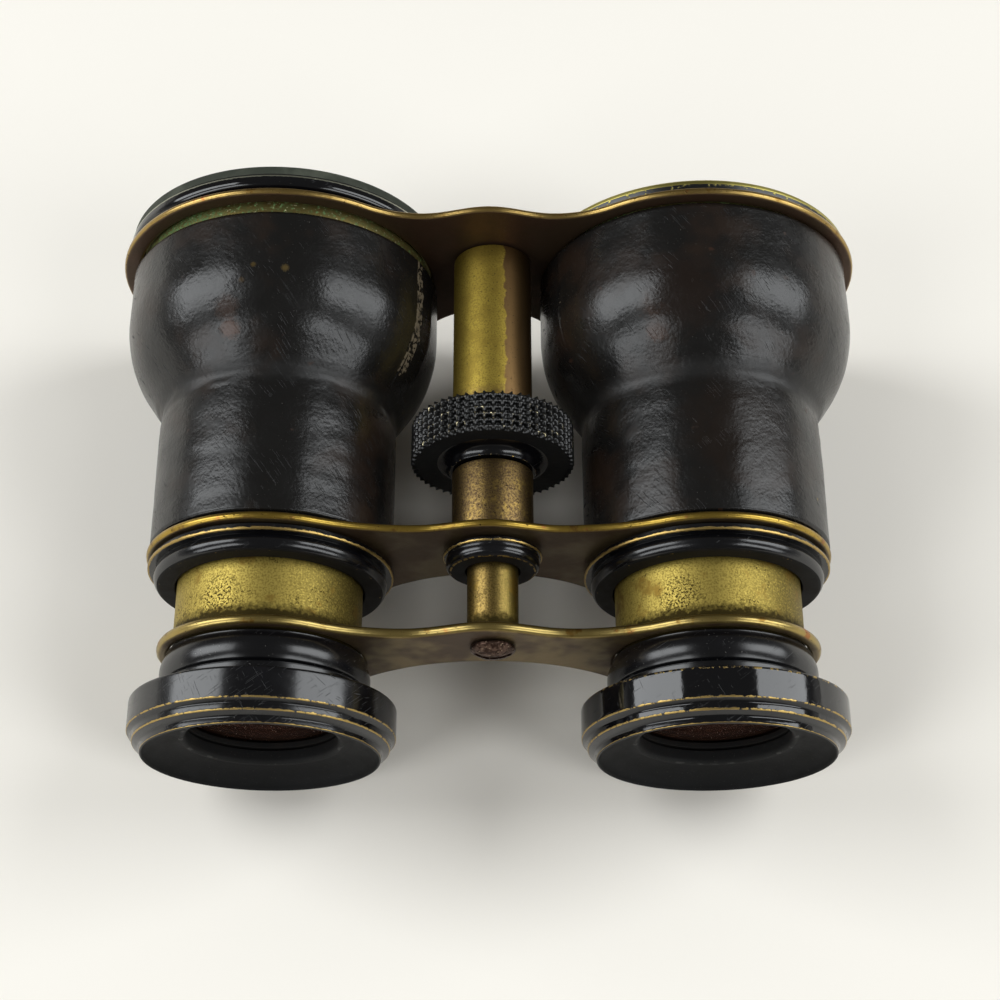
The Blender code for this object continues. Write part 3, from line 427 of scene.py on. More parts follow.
def black_japan(name, seed, worn=1.55, dust=0.76, gloss=0.09, scuffs=0.26, metal="a98f55"):
    """Black japan, stoved on turned brass and polished.

    It is a deep black with sharp reflections. Hairlines and a little dust dull it, and its edges are
    rubbed through to thin, broken lines of brass.
    """
    material, tree = new_finish(name)
    handled = patches(tree, 7.0, 0.45, 0.7, seed)
    dusty = patches(tree, 0.28, dust, dust + 0.05, seed + 1, detail=1.0)
    lines = hairlines(tree, 3.5, 0.09, scuffs - 0.02, seed + 2, (0.3, 0.2, 0.7))
    cross = hairlines(tree, 2.5, 0.08, scuffs, seed + 3, (0.8, 0.5, -0.6))
    brass = rubbed(tree, worn, seed + 4)
    lay_coats(tree, {"colour": "08080a", "metal": 0.0, "rough": gloss}, [
        {"mask": handled, "colour": "0a0a0d", "rough": gloss + 0.06},
        {"mask": lines, "colour": "1a1a1b", "rough": 0.42, "height": -0.006},
        {"mask": cross, "colour": "1a1a1b", "rough": 0.42, "height": -0.006},
        {"mask": dusty, "colour": "4a4844", "rough": 0.6},
        {"mask": brass, "colour": metal, "metal": 1.0, "rough": 0.36, "height": -0.025},
    ], [(patches(tree, 1.6, 0.2, 0.8, seed + 5), 0.006)])
    return material


def matt_japan(name, seed, ground="070708", pale="0e0e0d"):
    """Flat black, stoved over a grained surface, as on an eyecup's dished face.

    It is an even charcoal with no reflections, a little paler where dust and skin have dried on it, and pale
    grey where its edges are handled, which on the eyecup's bore lip is also a painted highlight.
    """
    material, tree = new_finish(name)
    # Its grain and dust hold back most of the gloss that a lacquer of IOR 1.5 has
    tree.nodes["Principled BSDF"].inputs["IOR"].default_value = 1.35
    dusty = patches(tree, 3.0, 0.4, 0.75, seed)
    specks = patches(tree, 0.25, 0.7, 0.76, seed + 1, detail=1.0)
    # Pale grey on rubbed edges: real wear, and on the eyecup's bore lip a painted highlight as well
    polished = rubbed(tree, 1.25, seed + 2, size=1.5, raggedness=1.0)
    lay_coats(tree, {"colour": ground, "metal": 0.0, "rough": 0.7}, [
        {"mask": dusty, "colour": pale, "rough": 0.8},
        {"mask": specks, "colour": "33312e", "rough": 0.8},
        {"mask": polished, "colour": "232322", "rough": 0.5},
    ], [(patches(tree, 0.3, 0.2, 0.8, seed + 3), 0.014)])
    return material


def tube_black(name, seed, ground="0b0a09", pale="15110e"):
    """Dull wash inside a tube and on a collar's end, near black with a brown cast, which keeps glare down."""
    material, tree = new_finish(name)
    # Lampblack in thin shellac hardly shines
    tree.nodes["Principled BSDF"].inputs["IOR"].default_value = 1.3
    lay_coats(tree, {"colour": ground, "metal": 0.0, "rough": 0.7}, [
        {"mask": patches(tree, 2.5, 0.4, 0.7, seed), "colour": pale, "rough": 0.8},
        {"mask": rubbed(tree, 1.75, seed + 2), "colour": "8d7440", "metal": 1.0, "rough": 0.45},
    ], [(patches(tree, 0.4, 0.2, 0.8, seed + 1), 0.01)])
    return material


def bridge_brass(name, seed, edge_colour, face_colour):
    """Cast and filed brass: a brown film of tarnish on the flat faces, rubbed bright on the rounded edges."""
    material, tree = new_finish(name)
    own = add(tree, "TexCoord")
    facing = add(tree, "VectorMath", {0: (own, "Normal"), 1: (0, 1, 0)}, operation="DOT_PRODUCT")
    flat = add(tree, "Math", {0: (facing, "Value")}, operation="ABSOLUTE")
    cloud = add(tree, "TexNoise", {"Vector": measure(tree, 1.5, seed), "Scale": 1.0, "Detail": 3.0})
    uneven = add(tree, "Math", {0: cloud, 1: 0.12, 2: flat}, operation="MULTIPLY_ADD")
    face = add(tree, "MapRange", {"Value": uneven, "From Min": 0.78, "From Max": 1.02})
    pits = patches(tree, 0.3, 0.68, 0.74, seed + 1, detail=1.0)
    stains = patches(tree, 2.2, 0.56, 0.7, seed + 2)
    copper = patches(tree, 3.5, 0.62, 0.72, seed + 5)
    smoked = patches(tree, 9.0, 0.4, 0.62, seed + 3)
    lay_coats(tree, {"colour": edge_colour, "metal": 1.0, "rough": 0.3}, [
        {"mask": stains, "colour": "806330", "rough": 0.36},
        {"mask": copper, "colour": "a06a3c", "rough": 0.34},
        {"mask": pits, "colour": "3a2a18", "rough": 0.7, "height": -0.03},
        {"mask": face, "colour": face_colour, "metal": 0.7, "rough": 0.42},
        {"mask": both(tree, face, smoked), "colour": "4a3a2a", "rough": 0.5},
    ], [(patches(tree, 0.8, 0.2, 0.8, seed + 4), 0.01)])
    return material


def drawn_brass(name, seed, colour="b09c50", shade="8b7a3c", dull=0.5, darker_side=(1.0, 9.0)):
    """Drawn brass tube, its lacquer long gone, dulled by a sandy tarnish.

    It is olive yellow with two soft bright streaks along it, and darker and rougher across darker_side, from
    one X to
    the other: partly tarnish, partly painted shade. Brown stains cloud it, dark specks have pitted it in
    clusters, and it is darker in a band next to where the bridge holds it.
    """
    material, tree = new_finish(name)
    # The tarnish's grain is about 0.1 mm; it is drawn at 0.25 mm so that it still shows
    sandy = patches(tree, 0.25, 0.4, 0.66, seed + 5, detail=2.0)
    mottled = patches(tree, 2.4, 0.42, 0.62, seed)
    stains = patches(tree, 4.5, 0.54, 0.68, seed + 1)
    drawing = patches(tree, (0.35, 14.0, 0.35), 0.4, 0.65, seed + 3)
    specks = both(tree, patches(tree, 0.28, 0.52, 0.6, seed + 2, detail=2.0),
                  spot(tree, PITTED_PLACE, 2.2, 1.0, seed + 6))
    pitted = both(tree, patches(tree, 0.35, 0.56, 0.62, seed + 8, detail=2.0),
                  patches(tree, 4.0, 0.5, 0.62, seed + 9))
    # Darker in a ragged band next to the eyepiece bridge, from 18 mm down to 16.7 mm along the tube
    darker_by_bridge = past(tree, "Y", 18.0, 16.7, seed + 7, ragged=2.4, size=0.6)
    # Darker on one side: partly tarnish, partly painted shade that dims that side's highlight
    tarnish_and_painted_shade = both(tree, past(tree, "X", *darker_side, seed + 10, ragged=2.0, size=0.5),
                  patches(tree, 0.25, 0.2, 0.6, seed + 11, detail=2.0))
    lay_coats(tree, {"colour": colour, "metal": 1.0, "rough": dull}, [
        {"mask": mottled, "rough": dull + 0.04},
        {"mask": drawing, "rough": dull - 0.03},
        {"mask": sandy, "colour": shade, "rough": dull + 0.06, "height": -0.004},
        {"mask": tarnish_and_painted_shade, "colour": "6c5f30", "rough": dull + 0.04},
        {"mask": stains, "colour": "836a30", "rough": dull + 0.02},
        {"mask": pitted, "colour": "5c4f26", "rough": 0.6, "height": -0.01},
        {"mask": specks, "colour": "443a1c", "rough": 0.6, "height": -0.015},
        {"mask": darker_by_bridge, "colour": "3a3118", "rough": 0.65},
    ], [(mottled, 0.006), (drawing, 0.003)])
    return material


def old_lacquer_brass(name, seed):
    """Gold-lacquered brass tube: the lacquer still yellow on one side, and gone brown on the other."""
    material, tree = new_finish(name)
    bare = past(tree, "X", 1.7, 1.95, seed, ragged=1.8, size=1.4)
    specks = patches(tree, 0.3, 0.66, 0.71, seed + 1, detail=2.0)
    lay_coats(tree, {"colour": "a59040", "metal": 1.0, "rough": 0.5}, [
        {"mask": patches(tree, 3.0, 0.45, 0.65, seed + 2), "colour": "947f38", "rough": 0.54},
        {"mask": patches(tree, 0.25, 0.42, 0.66, seed + 4, detail=2.0), "colour": "8c7836",
         "rough": 0.56},
        {"mask": bare, "colour": "6a5335", "rough": 0.42, "height": -0.012},
        {"mask": both(tree, past(tree, "Y", 52.0, 49.0, seed + 5, ragged=3.0, size=1.2),
                      patches(tree, 0.5, 0.3, 0.5, seed + 6)), "colour": "6e5638", "rough": 0.45},
        {"mask": specks, "colour": "3c3420", "rough": 0.6, "height": -0.01},
    ], [(patches(tree, 1.2, 0.2, 0.8, seed + 3), 0.006)])
    return material


def smoked_brass(name, seed):
    """Bare brass browned by handling: mottled brown and gold, with soft streaks of light along the tube."""
    material, tree = new_finish(name)
    mottled = patches(tree, 0.3, 0.38, 0.66, seed, detail=2.0)
    lay_coats(tree, {"colour": "725e3a", "metal": 1.0, "rough": 0.36}, [
        {"mask": mottled, "colour": "524230", "rough": 0.46},
        {"mask": both(tree, patches(tree, 3.0, 0.48, 0.66, seed + 1), patches(tree, 0.5, 0.4, 0.6, seed + 3)),
         "colour": "8c7440", "rough": 0.38},
        {"mask": patches(tree, 0.3, 0.66, 0.72, seed + 2, detail=1.0), "colour": "2e2318",
         "rough": 0.6},
    ], [(mottled, 0.008)])
    return material


def aged_leather(name, seed, marks):
    """Thin black calf, wetted and stretched over the bell, polished by hands.

    It is a satin black with soft broad highlights full of fine fibres, a few creased lines with their shade
    painted in darker, brown where the dye has gone, and less glossy where it bends above the waist. marks are
    its own spots: place, width, softness and colour.
    """
    material, tree = new_finish(name)
    # Dry old calf shines a little less than one of IOR 1.5
    tree.nodes["Principled BSDF"].inputs["IOR"].default_value = 1.41
    browned = patches(tree, 11.0, 0.48, 0.7, seed)
    rusty = patches(tree, 2.6, 0.68, 0.8, seed + 1)
    dust = patches(tree, 0.25, 0.74, 0.8, seed + 2, detail=1.0)
    polish = patches(tree, 5.0, 0.35, 0.65, seed + 3)
    # The fibres are about 0.1 mm wide; they are drawn at 0.3 mm so that they still show
    fibres = both(tree, patches(tree, (2.2, 0.4, 2.2), 0.3, 0.8, seed + 7, (0.0, 0.0, -0.95), 4.0),
                  patches(tree, 4.0, 0.35, 0.7, seed + 10))
    bent = both(tree, past(tree, "Y", 48.9, 50.2, seed + 11, ragged=1.5, size=1.5),
                past(tree, "Y", 53.0, 51.6, seed + 12, ragged=1.5, size=1.5))
    # The creases are coloured darker than the leather: painted shade, on top of their dent
    creases_and_painted_shade = both(tree, hairlines(tree, 3.6, 0.16, 0.13, seed + 4, (0.0, 0.0, -0.95)),
                   patches(tree, 5.0, 0.52, 0.6, seed + 8))
    # The grain is about 0.3 mm; it is drawn at 0.45 mm so that it still shows
    grain = add(tree, "TexVoronoi", {"Vector": measure(tree, 0.45, seed + 5), "Scale": 1.0},
                feature="SMOOTH_F1")
    lips = rubbed(tree, 1.5, seed + 9, size=0.6)
    coats = [
        {"mask": polish, "rough": 0.28},
        {"mask": browned, "colour": "201711", "rough": 0.29},
        {"mask": rusty, "colour": "2e1c12", "rough": 0.4},
        {"mask": bent, "rough": 0.4},
        {"mask": creases_and_painted_shade, "colour": "0a0909", "rough": 0.5, "height": -0.014},
        {"mask": dust, "colour": "45433e", "rough": 0.7},
        {"mask": lips, "colour": "5d5342", "rough": 0.6},
    ]
    for number, (place, width, softness, colour) in enumerate(marks):
        coats.append({"mask": spot(tree, place, width, softness, seed + 20 + number),
                      "colour": colour})
    lay_coats(tree, {"colour": "121110", "metal": 0.0, "rough": 0.22}, coats,
              [(grain, -0.017), (fibres, 0.01), (patches(tree, 1.3, 0.2, 0.8, seed + 6), 0.02)])
    return material


def bell_brass(name, seed):
    """Spun brass at the leather's edge: olive brown, with green verdigris where damp leather lay on it."""
    material, tree = new_finish(name)
    lay_coats(tree, {"colour": "75683c", "metal": 0.9, "rough": 0.5}, [
        {"mask": patches(tree, 0.9, 0.4, 0.65, seed), "colour": "57592f", "metal": 0.6, "rough": 0.6},
        {"mask": patches(tree, 0.6, 0.56, 0.66, seed + 1), "colour": "5e7a48", "metal": 0.1,
         "rough": 0.75, "height": 0.02},
        {"mask": both(tree, spot(tree, DAMP_PLACE, 4.0, 1.0, seed + 3),
                      patches(tree, 0.35, 0.45, 0.6, seed + 4)),
         "colour": "4d6e3c", "metal": 0.1, "rough": 0.7},
        {"mask": patches(tree, 0.4, 0.66, 0.72, seed + 2, detail=1.0), "colour": "b9b48a",
         "rough": 0.5},
    ])
    return material


def knurled_japan(name, seed):
    """Black japan over knurled brass: black in its pits, grey and brassy where the ridges between rub."""
    material, tree = new_finish(name)
    lay_coats(tree, {"colour": "060606", "metal": 0.0, "rough": 0.3}, [
        {"mask": patches(tree, 0.5, 0.5, 0.7, seed + 1), "colour": "121110", "rough": 0.4},
        {"mask": rubbed(tree, 1.56, seed, size=0.3, raggedness=1.3), "colour": "5a5446", "metal": 1.0,
         "rough": 0.42},
        {"mask": rubbed(tree, 1.86, seed + 2, size=0.35, raggedness=1.5), "colour": "c8bd98",
         "metal": 1.0, "rough": 0.36},
    ])
    return material


def browned_steel(name, seed):
    """Blued steel screw gone brown: dark red-brown, satin, with a few bare spots."""
    material, tree = new_finish(name)
    lay_coats(tree, {"colour": "57453c", "metal": 1.0, "rough": 0.4}, [
        {"mask": patches(tree, 0.7, 0.45, 0.6, seed), "colour": "33251f", "rough": 0.5},
        {"mask": patches(tree, 0.4, 0.6, 0.7, seed + 1), "colour": "8d7a68", "rough": 0.36},
    ], [(patches(tree, 0.5, 0.3, 0.7, seed + 2), 0.02)])
    return material


def cut_steel(name, seed):
    """Cut steel thread, oiled: grey metal with brown oil in its hollows."""
    material, tree = new_finish(name)
    lay_coats(tree, {"colour": "9a9892", "metal": 1.0, "rough": 0.3}, [
        {"mask": patches(tree, 1.2, 0.5, 0.65, seed), "colour": "5a5045", "rough": 0.45},
    ], [(patches(tree, (0.2, 3.0, 0.2), 0.3, 0.7, seed + 1), 0.004)])
    return material


def lens_glass(name, seed, tint="f2f4f0", index=1.52, tint_shown=0.0):
    """Polished crown or flint glass, clear, with a little dust; tint_shown is how much its tint shows as a
    flat colour.
    """
    material, tree = new_finish(name)
    shader = tree.nodes["Principled BSDF"]
    shader.inputs["Transmission Weight"].default_value = 1.0 - tint_shown
    shader.inputs["IOR"].default_value = index
    lay_coats(tree, {"colour": tint, "metal": 0.0, "rough": 0.01}, [
        {"mask": patches(tree, 0.3, 0.7, 0.76, seed, detail=1.0), "colour": "c8c4ba", "rough": 0.3},
    ])
    return material


# The pieces

def eyecup(side, x, seed):
    """Stepped cup with sharp edges, a glossy band and a hollow matt face.

    The left one is more scuffed, and the right one more rubbed along its back edge.
    """
    gloss, scuffs, back_wear = (0.16, 0.2, 0.45) if side == "left" else (0.07, 0.24, 0.68)
    dish = [(2.75 * sin(radians(a)), 11.9 + 4.15 * cos(radians(a)), 0.0) for a in range(0, 89, 8)]
    # The bore's lip, worn 0.7, shows pale grey in the flat black: rubbed, and a painted highlight as well
    profile = [(0.0, 16.3, 0.1, 1.2), (1.0, 16.45, 0.3), (1.35, 17.2, 0.15), (1.5, 17.5, 0.1, 0.95),
               (2.45, 17.6, 0.25), (2.8, 18.05, 0.1), (2.9, 18.3, 0.1, 0.9), (7.1, 18.3, 0.35, back_wear),
               INSIDE, (7.1, 12.9), (4.3, 12.9), (4.3, 10.4), (2.75, 10.4, 0.3), (2.3, 10.9, 0.4, 0.7)]
    turned(side + "_eyecup_turned", profile + list(reversed(dish)), x, 0,
           [black_japan(side + "_eyecup_black_japan", seed, gloss=gloss, scuffs=scuffs),
            matt_japan(side + "_eyecup_flat_black", seed + 9)],
           "eyepieces", side + "_eyecup")


def eyepiece_neck(side, x, seed):
    """Neck with one broad bead under the bridge; the eye lens sits in it."""
    bead = [(11.2 + 3.6 * sin(radians(a)), 10.95 + 3.6 * cos(radians(a)), 0.0) for a in range(-27, 36, 3)]
    profile = [(4.6, 12.6), (7.4, 12.6), (7.4, 14.0, 0.1, 0.5), (8.1, 13.85, 0.3), (9.3, 13.85, 0.3)] + bead
    profile += [(13.45, 13.9, 0.1), (13.7, 13.9), INSIDE, (13.7, 13.4), (10.8, 13.4), (10.8, 12.2),
                (8.9, 12.2), (8.9, 10.0), (7.8, 10.0), (7.8, 11.3), (4.6, 11.3)]
    turned(side + "_neck_turned", profile, x, 0,
           [black_japan(side + "_neck_black_japan", seed, worn=1.75, dust=0.74, gloss=0.22),
            tube_black(side + "_neck_tube_black", seed + 9)], "eyepieces", side + "_eyepiece_neck")


def eye_lens(side, x, seed):
    """Hollow eye lens with its ground edge blacked, and its black ring."""
    profile = dome(5.7, 0.5, 11.0)[:-1] + [INSIDE, (5.7, 11.0, 0.0), (7.5, 11.0, 0.05), OUTSIDE]
    profile += list(reversed(dome(7.5, -0.6, 11.0)))[1:]
    # The eye lens's brown tint, shown in part as a flat colour, is a painted reddish-brown reflection
    turned(side + "_eye_lens_ground", profile, x, 0,
           [lens_glass(side + "_eye_lens_hazed_crown_glass", seed, "b48470", tint_shown=0.05),
            tube_black(side + "_eye_lens_edge_black", seed + 3)],
           "eyepieces", side + "_eye_lens", steps=96)
    profile = [(4.6, 11.0), (5.4, 11.0), (5.4, 10.2), (4.6, 10.2, 0.1)]
    turned(side + "_eye_lens_ring_turned", profile, x, 0,
           [tube_black(side + "_eye_lens_ring_black", seed + 5)],
           "eyepieces", side + "_eye_lens_retaining_ring", steps=128)


def draw_tube(side, x, seed):
    """Brass tube that slides in the collar."""
    profile = [(11.1, 13.1), (47.2, 13.1), INSIDE, (47.2, 12.5), (11.1, 12.5)]
    # The inside is coloured red-brown so that the eye lens shows a painted reddish-brown reflection
    turned(side + "_draw_tube_drawn", profile, x, 0,
           [drawn_brass(side + "_draw_tube_tarnished_brass", seed),
            tube_black(side + "_draw_tube_inside_painted_reflection", seed + 9, "4a2a1e", "5a3526")],
           "eyepieces", side + "_draw_tube")


def guide_collar(side, x, seed):
    """Black collar under the middle bridge: a flat end, a roll, a cove and a sharp flange."""
    profile = [INSIDE, (24.2, 13.4), (24.25, 15.6, 0.08, 0.75), OUTSIDE, (24.38, 15.93, 0.0),
               (24.52, 16.08, 0.0), (24.75, 16.25, 0.0), (25.0, 16.36, 0.0), (25.25, 16.44, 0.0),
               (25.5, 16.48, 0.0), (25.75, 16.46, 0.0), (26.5, 16.15, 0.05), (26.58, 17.4, 0.15, 1.15),
               (27.0, 17.4, 0.1, 0.7), (27.05, 16.9, 0.1), (27.7, 16.9), (27.7, 15.2), INSIDE, (37.2, 15.2),
               (37.2, 13.4)]
    turned(side + "_collar_turned", profile, x, 0,
           [black_japan(side + "_collar_black_japan", seed, gloss=0.17),
            tube_black(side + "_collar_tube_black", seed + 9)],
           "barrels", side + "_guide_collar")


def leather_cover(side, x, seed):
    """Leather shrunk on the bell, with shallow lumps, wrinkles round the waist and a seam on the inner side.

    The left one's seam has opened, and the right one stands out further at its outer side.
    """
    far = LEATHER_FAR[side]
    outer_way, seam_way = (pi, radians(26)) if side == "left" else (0.0, radians(154))
    seam_start, seam_wear = (53.0, 0.9) if side == "left" else (58.0, 0.45)
    seam_depth, stand_out, wrinkles = (0.6, 0.1, 0.06) if side == "left" else (0.1, 0.4, 0.025)
    # The seam's lip and the hollow behind it, in degrees round the barrel
    lip = 2.5
    behind = 12
    outside = np.arange(LEATHER_NEAR + 0.3, far - 0.3, 0.3)
    profile = [(LEATHER_NEAR, WAIST_R + LEATHER_STANDS_OUT - 0.25, 0.0)]
    profile += [(s, bell(s, LEATHER_STANDS_OUT), 0.0) for s in outside]
    profile += [(far - 0.05, SWELL_R + 0.85, 0.0, 0.6), (far, SWELL_R + 0.6, 0.0), (far, SWELL_R + 0.3, 0.0)]
    profile += [(s, bell(s, 0.3), 0.0) for s in np.linspace(far - 1, LEATHER_NEAR, 40)]

    def stretched(stations, radii, wear, angles):
        """Move the leather's outside in and out, and wear the seam's lip."""
        for row in range(1, len(outside) + 1):
            s = stations[row, 0]
            waist = max(0.0, min(1.0, (49.5 - s) / 3.0))
            bent = max(0.0, 1.0 - abs(s - 50.5) / 3.0)
            seam = max(0.0, min(1.0, (s - seam_start) / 3.0))
            for k, angle in enumerate(angles):
                r = radii[row, k]
                here = Vector((r * cos(angle) + seed * 50, s, r * sin(angle)))
                lift = noise.noise(here * 0.11) * 0.09 + noise.noise(here * 0.3) * 0.035 - 0.04
                lift += stand_out * max(0.0, cos(angle - outer_way)) + 0.1 * waist
                ring = Vector((here.x * 0.1, s * 0.4, here.z * 0.1 + 7))
                lift += waist * wrinkles * noise.noise(ring)
                lift += bent * wrinkles * 2.0 * noise.noise(Vector((here.x * 0.3, s, here.z * 0.3 + 3)))
                way = seam_way + 0.02 * noise.noise(Vector((s * 0.4, seed, 0.0)))
                past_seam = (angle - way if side == "left" else way - angle) * 180 / pi
                if seam and -behind < past_seam < lip:
                    if past_seam > 0:
                        lift += seam * 0.12 * (1 - past_seam / lip)
                        wear[row, k] = seam * seam_wear if past_seam < 1.5 else 0.0
                    else:
                        lift -= seam * seam_depth * (1 + past_seam / behind) ** 0.5
                        wear[row, k] = seam * 0.75 if side == "left" and -6 < past_seam < -2 else 0.0
                radii[row, k] += lift
        return stations, radii, wear

    turned(side + "_leather_stretched", profile, x, 0,
           [aged_leather(side + "_aged_black_leather", seed, LEATHER_MARKS[side])],
           "barrels", side + "_leather_cover", steps=384, shape=stretched)


def barrel_shell(side, x, seed):
    """Spun brass bell under the leather."""
    profile = [(s, bell(s), 0.0) for s in np.linspace(LEATHER_NEAR, 77.0, 60)]
    profile += [INSIDE, (77.0, 21.4), (69.9, 21.4), (69.9, 20.4), (68.9, 20.4)]
    profile += [(s, bell(s, -0.6), 0.0) for s in np.linspace(68.4, LEATHER_NEAR, 50)]
    turned(side + "_bell_spun", profile, x, 0,
           [bell_brass(side + "_bell_verdigris_brass", seed), tube_black(side + "_bell_black", seed + 9)],
           "barrels", side + "_barrel_shell", steps=160)


def objective(side, x, seed):
    """Crown and flint elements and the ring before them."""
    profile = dome(73.7, -2.0, 21.1) + [(75.3, 21.1, 0.05)] + list(reversed(dome(75.3, 2.3, 21.1)))[1:]
    turned(side + "_crown_ground", profile, x, 0, [lens_glass(side + "_objective_crown_glass", seed)],
           "barrels", side + "_objective_crown", steps=128)
    frame["nodes"][side + "_objective_flint"].material_slots[0].material = lens_glass(
        side + "_objective_flint_glass", seed + 3, "f4efe2", 1.62)
    profile = [(75.6, 21.1), (76.4, 21.1), (76.4, 20.3, 0.1, 0.5), (75.6, 20.3)]
    turned(side + "_objective_ring_turned", profile, x, 0,
           [black_japan(side + "_objective_ring_black_japan", seed + 6, gloss=0.3)],
           "barrels", side + "_objective_retaining_ring", steps=160)


def objective_bezel(x, seed):
    """Tall black bezel on the left objective: a flared tier, a fine groove and a straight tier."""
    flare = [(77.9 - sin(radians(a)), 23.15 + cos(radians(a)), 0.0) for a in range(65, -1, -5)]
    profile = [(76.6, 22.3), (76.6, 22.9, 0.1)] + flare
    profile += [(78.8, 24.12, 0.12, 1.3), (78.9, 23.8, 0.05, 0.4), FADED, (79.1, 23.75, 0.1),
                (80.6, 23.85, 0.5, 0.3), (80.6, 22.2, 0.2, 0.3), INSIDE, (78.9, 20.7, 0.4), (77.3, 20.7),
                (77.3, 22.3)]
    turned("left_bezel_turned", profile, x, 0,
           [black_japan("left_bezel_black_japan", seed, worn=1.5, metal="aeae9c"),
            matt_japan("left_bezel_flat_black", seed + 9),
            matt_japan("left_bezel_faded_black", seed + 12, "30342b", "484b41")],
           "barrels", "left_objective_bezel")


def objective_rim(x, seed):
    """Low brass rim on the right objective, with a band of chipped black lacquer next to the plate."""
    profile = [(76.6, 22.3), (76.6, 23.9, 0.05, 0.35), (77.25, 24.0, 0.05, 0.5), (77.35, 24.05, 0.05, 1.5),
               (77.8, 24.05, 0.05, 1.5), (78.2, 23.7, 0.3, 1.5), (78.2, 20.7, 0.2, 1.5), INSIDE, (77.3, 20.7),
               (77.3, 22.3)]
    turned("right_rim_turned", profile, x, 0,
           [black_japan("right_rim_chipped_black_japan", seed, worn=1.4, gloss=0.3, metal="a59a55"),
            matt_japan("right_rim_flat_black", seed + 9)],
           "barrels", "right_objective_rim")


def column():
    """The column's two tubes, its gland and the rod."""
    profile = [(47.5, 5.75), (74.9, 5.75), INSIDE, (74.9, 1.6), (72.4, 1.6), (72.4, 4.85), (47.5, 4.85)]
    turned("upper_tube_drawn", profile, COLUMN_X, COLUMN_LIFT,
           [old_lacquer_brass("upper_tube_old_lacquered_brass", 40), tube_black("upper_tube_black", 41)],
           "barrels", "upper_column_tube", steps=128)
    profile = [(29.5, 5.75), (39.7, 5.75, 0.15), INSIDE, (39.7, 4.85), (29.5, 4.85)]
    turned("lower_tube_drawn", profile, COLUMN_X, COLUMN_LIFT,
           [smoked_brass("lower_tube_smoked_brass", 42), tube_black("lower_tube_black", 43)],
           "barrels", "lower_column_tube", steps=128)
    profile = [INSIDE, (24.8, 3.85), (24.8, 5.9, 0.1, 1.0), OUTSIDE, (25.05, 6.15, 0.0), (25.3, 6.4, 0.0),
               (25.6, 6.52, 0.0), (25.9, 6.55, 0.0), (26.2, 6.5, 0.0), (26.5, 6.45, 0.0), (26.7, 6.5, 0.0),
               (26.8, 6.9, 0.1, 1.0), (27.2, 6.9, 0.1, 0.5), (27.25, 6.3, 0.1), (27.7, 6.3),
               INSIDE, (27.7, 4.55), (35.2, 4.55), (35.2, 3.85)]
    turned("gland_turned", profile, COLUMN_X, COLUMN_LIFT,
           [black_japan("gland_black_japan", 44, gloss=0.17), tube_black("gland_black", 45)],
           "barrels", "column_gland", steps=128)
    profile = [(21.3, 0.0), (21.3, 1.6), (15.8, 1.6), (15.8, 3.55), (32.2, 3.55), (32.2, 2.3), (24.2, 2.3),
               (24.2, 0.0)]
    turned("rod_drawn", profile, COLUMN_X, COLUMN_LIFT,
           [drawn_brass("rod_rubbed_brass", 46, "887240", "5f4e2c", dull=0.38, darker_side=(-0.8, 2.5))],
           "eyepieces", "focus_rod", steps=96)


def focus_wheel():
    """Wheel with rows of pits knurled round its rim, a smooth hollow face, and a hub with a long fillet."""
    rows = 6
    pits = 56
    steps_round = 8
    steps_along = 8
    depth = 0.75
    near, far = 41.3, 47.2
    row_start = 0.45
    count = rows * steps_along
    rim = [(near + (far - near) * k / count, WHEEL_R, 0.0) for k in range(count + 1)]
    hollow = [(40.4, 6.25, 0.0), (40.85, 6.5, 0.0), (41.2, 6.9, 0.0), (41.5, 7.5, 0.0), FADED,
              (41.6, 7.9, 0.0), (41.6, 8.4, 0.0), (41.53, 9.2, 0.0), (41.45, 10.0, 0.0), (41.36, 10.6, 0.0)]
    profile = [(40.0, 4.85), (40.0, 6.15, 0.12, 0.6)] + hollow + [(near, 10.9, 0.0), KNURLED] + rim
    profile += [OUTSIDE, (far, 9.8, 0.2), (46.6, 9.4, 0.2), (46.6, 6.6, 0.4), (far, 6.6), (far, 4.85)]

    def knurled(stations, radii, wear, angles):
        """Press the pits, each a little unlike its neighbours, and wear the ridges between them."""
        for row in range(len(radii)):
            if radii[row, 0] != WHEEL_R:
                continue
            level, along = divmod((stations[row, 0] - near) / (far - near) * rows + row_start, 1.0)
            for k in range(len(angles)):
                cell, around = divmod(k + 0.5, steps_round)
                across = around / steps_round - 0.5
                chance = noise.noise(Vector((cell * 3.7, level * 5.3, 0.5)))
                pit = 1.3 - (abs(across) / 0.4) ** 2.2 - (abs(along - 0.5 + 0.35 * abs(across)) / 0.44) ** 2.2
                pit = max(0.0, min(1.0, pit)) * (0.95 + 0.5 * chance)
                radii[row, k] -= depth * pit + 0.06 * (1 + noise.noise(Vector((cell * 1.9, level * 2.3, 4))))
                wear[row, k] = max(0.0, 0.9 - 2.2 * pit) * (0.85 + 0.7 * chance)
        return stations, radii, wear

    turned("wheel_knurled", profile, COLUMN_X, COLUMN_LIFT,
           [black_japan("wheel_black_japan", 50, dust=0.78, gloss=0.16),
            knurled_japan("wheel_knurled_japan", 52),
            matt_japan("wheel_face_flat_black", 54, "040404", "090909")],
           "focus_wheel", "focus_wheel", steps=steps_round * pits, shape=knurled)


